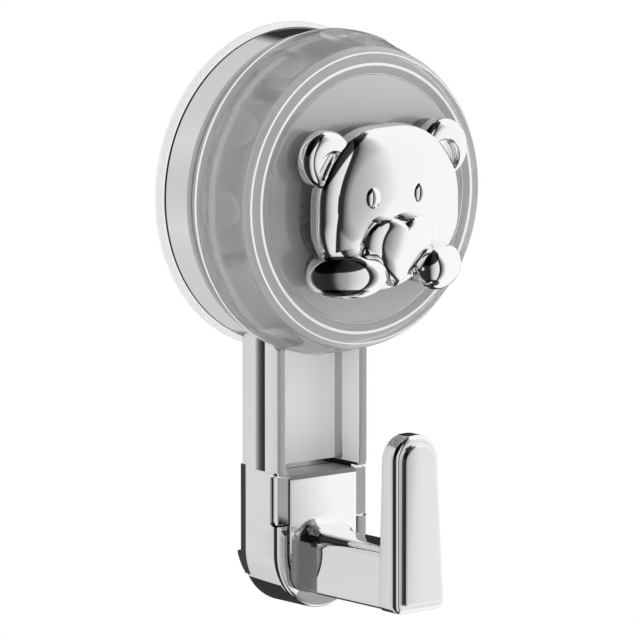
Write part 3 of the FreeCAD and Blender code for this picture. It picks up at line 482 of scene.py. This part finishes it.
# Painted shade and painted reflections on the bracket: darker, greyer and whiter tones in place of
# mirrored chrome.
def bracket_painted_tone(x, depth, z, normal):
    """The tone that each stretch of the bracket shows in the photograph."""
    radius = math.hypot(x, z)
    # painted reflections on the tray's front ring and front rounding, a white and a grey in place
    # of mirrored chrome; a painted shadow line on the rear rim
    if z > -40 and radius > 30:  # the tray's front ring, front rounding and rear rim
        if radius > 33 and depth > 11.15:
            return chrome_painted_grey_rounding if radius > 38.6 else chrome_painted_white_reflection
        return chrome_painted_shadow if depth < 3.3 and radius > 39.6 else None
    # painted reflection: the fins' front faces dimmed to grey
    if normal.y < -0.99 and depth > ARM_FRONT - 0.1 and z > (-92.0 if x > 0 else -84.0):
        return chrome_painted_grey_reflection if RAIL < abs(x) < FIN_OUT else None  # front edges of the fins
    # painted shade: the front edge under the hook dimmed to grey
    if z < -101.0 and depth > 15.7 and normal.y < -0.9:  # front edge under the hook
        return chrome_painted_grey_reflection
    # painted shadow on the wall beside the block
    if -92.0 < z < -72.0 and 10.0 < x < 12.0 and normal.x < -0.9:  # wall beside the block
        return chrome_painted_shadow
    # painted reflections inside the channel: matte white on the back and inner walls, a soft darker
    # chrome on the right inner wall's shoulder
    if abs(x) < FIN_IN + 0.05 and z > -72.0 and 3.8 < depth < 15.6:  # inside the channel
        inner = normal.x * x < 0.0 and abs(normal.z) < 0.5
        if normal.y < -0.99 or (inner and not 6.5 < depth < 8.7):
            return chrome_painted_white_reflection
        if inner and x > 0:
            return chrome_painted_soft_reflection
    return None


def build_bracket():
    shell = Shell()
    add_tray(shell)
    upper = channel_section(ARM_BACK, 1.2)
    shell.stack([[(x, d, arm_top(d)) for x, d in upper], [(x, d, RELIEF_TOP) for x, d in upper]])
    relieved = channel_section(RELIEF, 0.0)
    shell.stack([[(x, d, z) for x, d in relieved] for z in (RELIEF_TOP, RELIEF_END)])
    wall, slab = lower_end()
    bracket = join(make("bracket_moulding", shell, chrome, sharp=12), wall, slab)
    paint(bracket, (chrome_painted_grey_reflection, chrome_painted_white_reflection, chrome_painted_soft_reflection, chrome_painted_shadow, chrome_painted_grey_rounding),
          bracket_painted_tone)
    settle(bracket, "base", "chrome", "bracket")


# ---------------------------------------------------------------- hook
BLOCK_HALF, BLOCK_TOP, BLOCK_BACK = 10.9, -71.6, 6.2
BEVEL, BEVEL_FROM, BEVEL_DROP = 0.55, 15.0, 0.6
TAB_BACK, TAB_FRONT, TAB_LOW, TAB_TOP = 13.5, 15.5, -83.8, -71.7
TAB_FROM, TAB_TO, TAB_FACE = 10.4, 14.1, 14.25
TAB_CHAMFER, TAB_CENTRE = (0.12, 0.12 * 0.16), -77.7

ROOT, ROOT_SPREAD, ROOT_LENGTH, ROOT_STEPS = 16.05, 3.7, 6.0, 16
# the painted shade on the arm's root reaches this depth
ROOT_SHADE_END = 21.9
ARM_HALF, ARM_TOP, ARM_LOW, ARM_END = 6.9, -86.0, -101.4, 49.5
ARM_FOOT, ARM_CROWN = 1.3, 4.0

PLATE_BACK, PLATE_TOP, PLATE_LOW = 47.6, -57.2, -101.6
PLATE_TOP_HALF, PLATE_LOW_HALF = 6.9, 8.15
PLATE_THICK_LOW, PLATE_THICK_TOP = 7.0, 5.4
PLATE_BACK_ROUND, PLATE_FRONT_ROUND = 0.6, 1.25
PANEL_INSET, PANEL_RISE, PANEL_ROUND = 2.25, 1.06, 0.38


def block_ring(inset, drop, depth):
    return [(x, depth, z) for x, z in stadium(BLOCK_HALF - inset, BLOCK_TOP - drop, END_Z)]


def add_block(shell):
    """The block that fills the channel's lower end, and its tabs in the side notches."""
    bevelled = BEVEL_FROM + BEVEL
    rings = [block_ring(0, 0, BLOCK_BACK), block_ring(0, 0, BEVEL_FROM),
             block_ring(0, BEVEL, bevelled)]
    steps = 6
    for k, a in enumerate(quarter(steps), 1):
        rings.append(block_ring(BEVEL * (1 - math.cos(a)), BEVEL + BEVEL_DROP * k / steps,
                                bevelled + BEVEL * math.sin(a)))
    shell.stack(rings)
    tab = rounded([(TAB_BACK, TAB_LOW, 1.0), (TAB_FRONT, TAB_LOW, 0.3),
                   (TAB_FRONT, TAB_TOP, 0.3), (TAB_BACK, TAB_TOP, 0.3)], 4)
    middle = (TAB_BACK + TAB_FRONT) / 2
    for side in (-1, 1):
        shell.stack([[(side * x, d + (middle - d) * across, z + (TAB_CENTRE - z) * along)
                      for d, z in tab]
                     for x, (across, along) in ((TAB_FROM, (0, 0)), (TAB_TO, (0, 0)),
                                                (TAB_FACE, TAB_CHAMFER))])


def arm_ring(grow, depth):
    """The hook arm's outline, wider all round but not lower by grow."""
    wide, top = ARM_HALF + grow, ARM_TOP + grow
    foot, crown = ARM_FOOT + grow, ARM_CROWN + grow
    points = rounded([(-wide, ARM_LOW, foot), (wide, ARM_LOW, foot), (wide, top, crown),
                      (-wide, top, crown)], 9)
    return [(x, depth, z) for x, z in points]


def add_arm(shell):
    """The arm, which flares into the block at its root."""
    rings = [arm_ring(ROOT_SPREAD * (1 - math.sin(a)), ROOT + ROOT_LENGTH * (1 - math.cos(a)))
             for a in quarter(ROOT_STEPS, 0)]
    shell.stack(rings + [arm_ring(0, ARM_END)])


def plate_ring(inset, level=None, depth=None):
    """Outline of the upright plate. level is the distance behind its slanted front."""
    top_half, low_half = PLATE_TOP_HALF - inset, PLATE_LOW_HALF - inset
    low, top = PLATE_LOW + inset, PLATE_TOP - inset
    low_round, top_round = 2.2 - min(inset, 1.8), top_half * 0.93
    ring = []
    for x, z in rounded([(-low_half, low, low_round), (low_half, low, low_round),
                         (top_half, top, top_round), (-top_half, top, top_round)], 12):
        share = (z - PLATE_LOW) / (PLATE_TOP - PLATE_LOW)
        front = PLATE_BACK + PLATE_THICK_LOW + (PLATE_THICK_TOP - PLATE_THICK_LOW) * share
        ring.append((x, depth if depth is not None else front - level, z))
    return ring


def add_plate(shell):
    """The upright plate with rounded edges and a raised panel on its front."""
    rings = [plate_ring(PLATE_BACK_ROUND, depth=PLATE_BACK)]
    rings += [plate_ring(PLATE_BACK_ROUND * (1 - math.sin(a)),
                         depth=PLATE_BACK + PLATE_BACK_ROUND * (1 - math.cos(a)))
              for a in quarter(4)]
    rings += [plate_ring(PLATE_FRONT_ROUND * (1 - math.cos(a)),
                         level=PLATE_FRONT_ROUND * (1 - math.sin(a))) for a in quarter(8, 0)]
    rings += [plate_ring(PANEL_INSET - 0.2, level=0.0), plate_ring(PANEL_INSET - 0.05, level=-0.15),
              plate_ring(PANEL_INSET, level=-PANEL_RISE)]
    rings += [plate_ring(PANEL_INSET + PANEL_ROUND * (1 - math.cos(a)),
                         level=-PANEL_RISE - PANEL_ROUND * math.sin(a)) for a in quarter(6)]
    shell.stack(rings)


# Painted shade and painted reflections on the hook: darker tones in place of mirrored chrome.
def hook_painted_tone(x, depth, z, normal):
    """The tone that each stretch of the hook shows in the photograph."""
    in_root_shade = ROOT < depth < ROOT_SHADE_END
    # painted shade on the sides and underside of the arm where it flares into the block
    if in_root_shade and z < ARM_TOP - 1.0 and abs(normal.x) > 0.02 and normal.z < 0.25:
        return chrome_painted_root_shade
    # painted shade on the top of the block
    if depth < ROOT and z > BLOCK_TOP - 1.3 and abs(x) < 10.8 and normal.z > 0.2:
        return chrome_painted_root_shade  # top of the block
    # painted reflection: the fronts of the tabs dimmed to grey
    if 10.95 < abs(x) < 14.2 and 15.2 < depth < 15.6 and normal.y < -0.8:
        return chrome_painted_grey_reflection  # fronts of the tabs
    # painted shade in the upper left corner of the root
    if in_root_shade and x < -2.0 and z < ARM_TOP + ROOT_SPREAD and 0.25 <= normal.z < 0.93:
        return chrome_painted_grey_reflection  # upper left corner of the root
    # painted reflection: the plate's raised panel in a dimmer chrome
    if depth > 52.0 and normal.y < -0.99 and PLATE_LOW < z < PLATE_TOP:
        return chrome_panel_painted_reflection
    return None


def build_hook():
    shell = Shell()
    add_block(shell)
    add_arm(shell)
    add_plate(shell)
    hook = make("hook_moulding", shell, chrome)
    paint(hook, (chrome_painted_root_shade, chrome_painted_grey_reflection, chrome_panel_painted_reflection), hook_painted_tone)
    settle(hook, "base", "chrome", "hook")


# ---------------------------------------------------------------- suction pad
PAD_PROFILE = [
    (0.0, 2.3), (14.0, 2.2, 6.0), (33.0, 0.03, 3.0), (41.2, 0.03, 0.3), (41.2, 0.9, 0.4),
    (40.0, 1.7, 0.3), (36.0, 2.0, 1.0), (28.0, 2.75), (20.0, 3.45), (11.0, 4.25, 1.0), (9.5, 4.8),
    (9.5, 7.3, 0.4), (3.05, 7.3), (3.05, 5.05), (7.05, 5.05), (7.05, 3.35), (0.0, 3.35)]


def build_pad():
    shell = Shell()
    shell.lathe(rounded(PAD_PROFILE, 5), 288)
    pad = make("pad_membrane", shell, soft_clear)
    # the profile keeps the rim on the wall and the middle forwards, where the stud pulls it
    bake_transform(pad)
    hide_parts("suction_pad")


# ---------------------------------------------------------------- knob
KNOB_BACK, KNOB_FRONT = 14.6, 33.4
SIDE_R, SIDE_FROM, SIDE_INSET, SIDE_LENGTH = 41.0, 19.4, 3.1, 11.6
TAPER = math.atan2(SIDE_INSET, SIDE_LENGTH)
SKIRT_BACK, SEAT, SEAT_FRONT, CAP_INSIDE = 12.95, 31.2, 31.7, 29.7
DIMPLE_COUNT, DIMPLE_ACROSS, DIMPLE_ALONG, DIMPLE_HIGH, DIMPLE_SINK = 12, 9.4, 10.8, 5.0, 1.0
DIMPLE_PLACE = KNOB_BACK + 10.2

CAP_PROFILE = [
    (39.45, SKIRT_BACK, 0.25), (40.3, 14.75), (SIDE_R, 16.0, 0.6), (SIDE_R, SIDE_FROM, 8.0),
    (SIDE_R - SIDE_INSET, SIDE_FROM + SIDE_LENGTH, 3.0), (36.4, 33.1, 1.6),
    (33.4, KNOB_FRONT, 0.5), (SEAT, 32.9, 0.2), (SEAT, SEAT_FRONT), (0.0, SEAT_FRONT),
    (0.0, CAP_INSIDE), (36.0, CAP_INSIDE, 1.0), (38.8, SIDE_FROM, 4.0), (38.8, SKIRT_BACK, 0.25)]
CORE_PROFILE = [
    (38.5, 15.0, 0.2), (38.5, 19.4, 3.0), (35.85, 29.4, 0.8), (6.52, 29.4), (6.52, 23.0),
    (5.02, 23.0), (5.02, 14.0), (8.0, 14.0), (8.0, 27.4), (33.9, 27.4, 0.6), (36.5, 19.4, 3.0),
    (36.5, 15.0, 0.2)]
DISC_R, DISC_BACK, DISC_FRONT = 31.05, 31.72, 32.9


def over_dimple(radius, depth, angle):
    """Height of a point over the floor of the nearest oval dimple, or -1 outside its reach. The
    dimples are ellipsoids whose middles lie outside the cap's slanted side."""
    pitch = 2 * math.pi / DIMPLE_COUNT
    off = (angle + pitch / 2) % pitch - pitch / 2
    centre = (SIDE_R - (DIMPLE_PLACE - SIDE_FROM) * SIDE_INSET / SIDE_LENGTH
              + DIMPLE_HIGH - DIMPLE_SINK)
    across = radius * math.sin(off)
    along, high = depth - DIMPLE_PLACE, radius * math.cos(off) - centre
    s = along * math.cos(TAPER) - high * math.sin(TAPER)
    h = along * math.sin(TAPER) + high * math.cos(TAPER)
    left = 1 - (across / DIMPLE_ACROSS) ** 2 - (s / DIMPLE_ALONG) ** 2
    return h + DIMPLE_HIGH * math.sqrt(left) if left > 0 else -1.0


def dimpled(radius, depth, angle):
    """Sinks a point of the cap's side into the nearest dimple."""
    if radius < 36.9 or depth > 32.6 or depth < KNOB_BACK + 0.05:
        return radius, depth
    sink = max(over_dimple(radius, depth, angle), 0.0)
    return radius - sink * math.cos(TAPER), depth - sink * math.sin(TAPER)


def cap_look(x, depth, z, normal):
    """Painted highlights as pale lines, greyer rings on the clear cap, and its frosted dimples."""
    radius = math.hypot(x, z)
    if depth > 31.0 and normal.y < -0.05:
        # painted highlight rings on the cap's front, with a greyer rim between them
        line = 33.2 < radius < 34.1 or 36.3 < radius < 36.7 or radius < 31.5
        return clear_painted_highlight if line else clear_rim
    outward = normal.x * x + normal.z * z > 0
    if 15.5 < depth < 32.0 and radius > 36.0 and outward and \
            abs(over_dimple(radius, depth, math.atan2(z, x))) < 0.04:
        return clear_grip
    if depth < 15.8 and radius > 38.0:
        return clear_rim
    # a painted highlight on the cap's rear edge
    if depth < 16.9 and radius > 39.9:
        return clear_painted_highlight
    return None


def build_cap():
    shell = Shell()
    shell.lathe(resample(rounded(CAP_PROFILE, 6), 0.55), 480, warp=dimpled)
    cap = make("knob_cap", shell, clear, sharp=40)
    paint(cap, (clear_rim, clear_painted_highlight, clear_grip), cap_look)
    settle(cap, "knob", "clear_plastic", "knob_shell")


def build_core():
    shell = Shell()
    shell.lathe(rounded(CORE_PROFILE, 5), 288)
    settle(make("knob_inner_cup", shell, core_grey_painted_band), "knob", "grey_plastic", "knob_core")


def build_disc():
    shell = Shell()
    shell.lathe(rounded([(0.0, DISC_BACK), (DISC_R, DISC_BACK, 0.15), (DISC_R, DISC_FRONT, 0.35),
                         (0.0, DISC_FRONT)], 5), 288)
    settle(make("disc_face", shell, disc_grey), "knob", "disc_grey", "face_disc")


# ---------------------------------------------------------------- bear ornament
BEAR_BACK = 38.0
CREASED = 4.5  # degrees: keeps the crease between a side and its face crisp

HEAD_WIDE, HEAD_CROWN, HEAD_CHIN, HEAD_CORNER, HEAD_LOW = 22.2, 19.4, 17.5, 19.1, 13.0
HEAD_SIDE = [(0.5, BEAR_BACK), (0.12, 38.3), (0.0, 38.8), (0.03, 40.2), (0.1, 41.1), (0.2, 41.8)]

EAR_X, EAR_Z, EAR_R, EAR_FRONT = 18.6, 12.0, 7.4, 42.4
DISH_X, DISH_Z = 17.8, 9.9
DISH_PROFILE = [(0.0, 40.9), (4.2, 40.9, 0.8), (4.5, 42.2, 0.3), (5.4, 43.0), (0.0, 43.0)]

EYE_X, EYE_SHIFT, EYE_DEPTH, EYE_Z, EYE_HALVES = 7.5, -0.8, 45.75, 2.3, (2.3, 1.5, 2.75)
BELLY_Z, BELLY_HALVES = -13.0, (14.5, 5.8, 9.6)

LOBE_R, LOBE_SHARE, LOBE_Z, HEART_TIP, HEART_MIDDLE = 6.3, 0.7, -9.2, -21.4, -9.5
HEART_SIDE = [(0.0, 43.0), (0.0, 47.6), (0.03, 48.0)]
HEART_BULGE, BULGE_Z, BULGE_HALVES = 1.6, -11.0, (10.0, 12.0)
LEAN = math.radians(12.0)

PAW_X, PAW_DEPTH, PAW_Z, PAW_HALF, PAW_R, PAW_TURN = 14.5, 42.8, -16.8, 10.3, 6.0, 39.0
PAW_BLUNT, PAW_ROUND = 2.9, 2.15


def bowed(outline, profile, dome, centre, steep, edge, place=None):
    """A form with a moulded side, a crease and a domed face. profile holds (inset, depth); the
    face rises by a steep share within edge of its rim, and gently from there to its middle."""
    x0, z0 = centre
    rings = [[(x, d, z) for x, z in outline(i)] for i, d in profile]
    rim = outline(profile[-1][0])
    level = profile[-1][1]
    reach = max(math.hypot(x - x0, z - z0) for x, z in rim)
    shares = [edge / reach * k / 8 for k in range(1, 9)]
    shares += [edge / reach + (1 - edge / reach) * k / 10 for k in range(1, 11)]
    for u in shares:
        f = 1 - u
        near = min(u * reach / edge, 1.0)
        rise = dome * (steep * (1 - (1 - near) ** 2) + (1 - steep) * (1 - f * f))
        rings.append([(x0 + (x - x0) * f, level + rise, z0 + (z - z0) * f) for x, z in rim])
    if place:
        rings = [[place(*point) for point in ring] for ring in rings]
    shell = Shell()
    shell.stack(rings, caps=(True, False))
    return shell


def head_outline(inset):
    wide, crown, chin = HEAD_WIDE - inset, HEAD_CROWN - inset, HEAD_CHIN - 2.4 * inset
    corner, low = HEAD_CORNER - inset, HEAD_LOW - 1.4 * inset
    return rounded([(-wide, -chin, low), (wide, -chin, low), (wide, crown, corner),
                    (-wide, crown, corner)], 18)


def heart_outline(inset):
    """Two lobes, and straight edges that run from them to the tip."""
    lobe = LOBE_R - inset
    middle = LOBE_SHARE * lobe
    tip_z = HEART_TIP + 1.5 * inset
    reach = math.hypot(middle, LOBE_Z - tip_z)
    start = math.degrees(math.atan2(tip_z - LOBE_Z, -middle) + math.acos(lobe / reach))
    end = 180 - math.degrees(math.acos(LOBE_SHARE))
    right = arc(middle, LOBE_Z, lobe, start, end, 26)
    x0, z0 = right[0]
    pieces = 12
    right = [(x0 * k / pieces, tip_z + (z0 - tip_z) * k / pieces)
             for k in range(1, pieces)] + right
    return [(0.0, tip_z)] + right + [(-x, z) for x, z in reversed(right[:-1])]


def leaning(x, d, z):
    """Bulges the heart's middle and tips it forwards at the top."""
    bulge = HEART_BULGE * (1 - (x / BULGE_HALVES[0]) ** 2 - ((z - BULGE_Z) / BULGE_HALVES[1]) ** 2)
    return (x, max(d + bulge + z * math.sin(LEAN), BEAR_BACK), z * math.cos(LEAN))


def ball(x, d, z, halves, rows=20, columns=40):
    """An ellipsoid of the given half sizes, flat where it would pass the ornament's back."""
    across, along, high = halves
    rings = []
    for i in range(rows + 1):
        a = math.pi * i / rows
        ring = []
        for j in range(columns):
            b = 2 * math.pi * j / columns
            ring.append((x + across * math.sin(a) * math.cos(b),
                         max(d + along * math.sin(a) * math.sin(b), BEAR_BACK),
                         z + high * math.cos(a)))
        rings.append(ring)
    shell = Shell()
    shell.grid(rings)
    return shell


def paw(x, turn, rows=44, columns=56):
    """An egg with a blunt back end, lying level with its long axis turned by so many degrees."""
    c, s = math.cos(math.radians(turn)), math.sin(math.radians(turn))
    rings = []
    for i in range(rows + 1):
        u = -math.cos(math.pi * i / rows)
        fall = abs(u) ** (PAW_BLUNT if u < 0 else PAW_ROUND)
        r = PAW_R * max(1 - fall, 0.0) ** 0.5
        ring = []
        for j in range(columns):
            b = 2 * math.pi * j / columns
            along, beside = u * PAW_HALF, r * math.cos(b)
            ring.append((x + along * c - beside * s,
                         max(PAW_DEPTH + along * s + beside * c, BEAR_BACK),
                         PAW_Z + r * math.sin(b)))
        rings.append(ring)
    shell = Shell()
    shell.grid(rings)
    return shell


def dished_ear(side):
    """A round ear with a dish in its front."""
    ear = Shell()
    ear.lathe(rounded([(0.0, BEAR_BACK), (EAR_R, BEAR_BACK, 0.3), (EAR_R, EAR_FRONT, 2.3),
                       (0.0, EAR_FRONT)], 10), 128, x=side * EAR_X, z=EAR_Z)
    dish = Shell()
    dish.lathe(rounded(DISH_PROFILE, 5), 96, x=side * DISH_X, z=DISH_Z)
    return cut(make("ear", ear, chrome), dish)


def build_bear():
    side = HEAD_SIDE + sweep(HEAD_SIDE[-1], 2.2, 8, 45, 8)
    side += sweep(side[-1], 7.4, 45, 70, 8)
    head = bowed(head_outline, side, 1.6, (0.0, 2.6), steep=0.175, edge=3.5)
    bear = make("bear_ornament", head, chrome, sharp=CREASED)
    for s in (-1, 1):
        join(bear, dished_ear(s))
    for s in (-1, 1):
        eye = ball(s * EYE_X + EYE_SHIFT, EYE_DEPTH, EYE_Z, EYE_HALVES)
        join(bear, make("eye", eye, chrome, sharp=80))
    belly = ball(0.0, BEAR_BACK, BELLY_Z, BELLY_HALVES, 30, 64)
    join(bear, make("belly", belly, chrome))
    side = HEART_SIDE + sweep(HEART_SIDE[-1], 1.2, 4, 45, 6)
    side += sweep(side[-1], 3.0, 45, 74, 6)
    heart = bowed(heart_outline, side, 0.12, (0.0, HEART_MIDDLE), steep=0.9, edge=1.5,
                  place=leaning)
    join(bear, make("heart", heart, chrome, sharp=CREASED))
    for s in (-1, 1):
        join(bear, make("paw", paw(s * PAW_X, -PAW_TURN * s), chrome))
    settle(bear, "knob", "chrome", "bear_figure")


# ---------------------------------------------------------------- studio
# What chrome mirrors: bright panels and dark gaps round the part, as (degrees from the left
# towards the front, level); dark below; and a dark ceiling patch above the left.
ROUND_STOPS = [
    (-180, 1.0), (-140, 1.0), (-136, 0.03), (-123, 0.03), (-118, 0.62), (-60, 0.66), (-50, 0.72),
    (-46.5, 0.64), (-44, 0.48), (-40, 0.30), (-33.7, 0.14), (-27.4, 0.055), (-21, 0.034),
    (34, 0.02), (41, 0.05), (49, 0.30), (59, 0.55), (72, 0.75), (92, 0.90), (94, 0.03),
    (103, 0.03), (106, 0.14), (113, 0.35), (121, 0.58), (129, 0.97), (140, 1.0), (179, 1.0)]
HEIGHT_STOPS = [(0.0, 0.05), (0.12, 0.05), (0.16, 1.0), (1.0, 1.0)]
CEILING_STOPS = [(0.0, 1.0), (0.868, 1.0), (0.893, 0.06), (1.0, 0.04)]
CEILING_LEFT, CEILING_AHEAD = 0.5, 0.14

FLOOR_HALF, FLOOR_Z = 6.0, -0.75
CARD_X, CARD_Y, CARD_Z = (-0.024, 0.07), (0.01, 0.12), -0.16


def build_world():
    """A white surround for the camera and for light, and the graded one above for mirrors."""
    world = bpy.data.worlds.new("studio")
    scene.world = world
    world.use_nodes = True
    tree = world.node_tree
    tree.nodes.clear()

    def node(kind, **values):
        made = tree.nodes.new(kind)
        for key, value in values.items():
            setattr(made, key, value)
        return made

    def compute(operation, *values):
        made = node("ShaderNodeMath", operation=operation)
        for socket, value in zip(made.inputs, values):
            if isinstance(value, (int, float)):
                socket.default_value = value
            else:
                tree.links.new(value, socket)
        return made.outputs[0]

    def graded(source, stops):
        made = node("ShaderNodeValToRGB")
        set_stops(made.color_ramp, stops)
        tree.links.new(source, made.inputs[0])
        return made.outputs[0]

    where = node("ShaderNodeTexCoord")
    split = node("ShaderNodeSeparateXYZ")
    tree.links.new(where.outputs["Generated"], split.inputs[0])
    up = split.outputs[2]
    left = compute("MULTIPLY", split.outputs[0], -1.0)
    ahead = compute("MULTIPLY", split.outputs[1], -1.0)
    turn = compute("ADD", compute("DIVIDE", compute("ARCTAN2", ahead, left), 2 * math.pi), 0.5)
    height = compute("ADD", compute("DIVIDE", compute("ARCSINE", up), math.pi), 0.5)
    lean = compute("ADD", compute("ADD", up, compute("MULTIPLY", left, CEILING_LEFT)),
                   compute("MULTIPLY", ahead, CEILING_AHEAD))
    overhead = compute("ADD", compute("MULTIPLY", lean, 0.5), 0.5)
    round_level = graded(turn, [((angle + 180) / 360, level) for angle, level in ROUND_STOPS])
    up_level = compute("MULTIPLY", graded(height, HEIGHT_STOPS), graded(overhead, CEILING_STOPS))
    shade = node("ShaderNodeMix", data_type="RGBA", blend_type="MULTIPLY")
    shade.inputs["Factor"].default_value = 1.0
    tree.links.new(round_level, shade.inputs["A"])
    tree.links.new(up_level, shade.inputs["B"])
    path = node("ShaderNodeLightPath")
    pick = node("ShaderNodeMix", data_type="RGBA")
    pick.inputs["A"].default_value = (1.0, 1.0, 1.0, 1.0)
    tree.links.new(path.outputs["Is Glossy Ray"], pick.inputs["Factor"])
    tree.links.new(shade.outputs["Result"], pick.inputs["B"])
    background = node("ShaderNodeBackground")
    tree.links.new(pick.outputs["Result"], background.inputs["Color"])
    output = node("ShaderNodeOutputWorld")
    tree.links.new(background.outputs[0], output.inputs[0])


def level_sheet(name, xs, ys, z, look):
    """A level rectangle, in metres."""
    (x0, x1), (y0, y1) = xs, ys
    mesh = bpy.data.meshes.new(name)
    mesh.from_pydata([(x0, y0, z), (x1, y0, z), (x1, y1, z), (x0, y1, z)], [], [(0, 1, 2, 3)])
    mesh.materials.append(look)
    sheet = bpy.data.objects.new(name, mesh)
    scene.collection.objects.link(sheet)
    return sheet


def build_floor():
    pale = grey("pale_floor", 1.0, rough=(0.7, 0.8), fine=30.0, bump=0.0, Specular_IOR_Level=0.0)
    reach = (-FLOOR_HALF, FLOOR_HALF)
    floor = level_sheet("studio_floor", reach, reach, FLOOR_Z, pale)
    floor.visible_glossy = False
    floor.visible_transmission = False


def build_card():
    """A dark card below the part that only chrome mirrors."""
    dark = grey("dark_card", 0.02, rough=(0.8, 0.9), bump=0.0)
    card = level_sheet("studio_card", CARD_X, CARD_Y, CARD_Z, dark)
    card.visible_camera = False
    card.visible_diffuse = False
    card.visible_shadow = False
    card.visible_transmission = False


# ---------------------------------------------------------------- camera
LENS, SENSOR = 506.25, 36.0
AZIMUTH, ELEVATION = math.radians(-38.94), math.radians(9.08)
CAMERA_PLACE = (-1.40313, -1.75110, 0.32387)


def build_camera():
    """The photograph's camera: a long lens from the left, a little above the knob's middle."""
    data = bpy.data.cameras.new("camera")
    data.lens = LENS
    data.sensor_width = SENSOR
    data.clip_end = 50.0
    camera = bpy.data.objects.new("camera", data)
    scene.collection.objects.link(camera)
    towards = Vector((-math.sin(AZIMUTH) * math.cos(ELEVATION),
                      math.cos(AZIMUTH) * math.cos(ELEVATION), -math.sin(ELEVATION)))
    camera.location = CAMERA_PLACE
    camera.rotation_euler = towards.to_track_quat("-Z", "Y").to_euler()
    scene.camera = camera


# ---------------------------------------------------------------- the scene
dress_cad()
build_bracket()
build_hook()
build_pad()
build_cap()
build_core()
build_disc()
build_bear()
build_world()
build_floor()
build_card()
build_camera()
scene.view_settings.view_transform = "Standard"
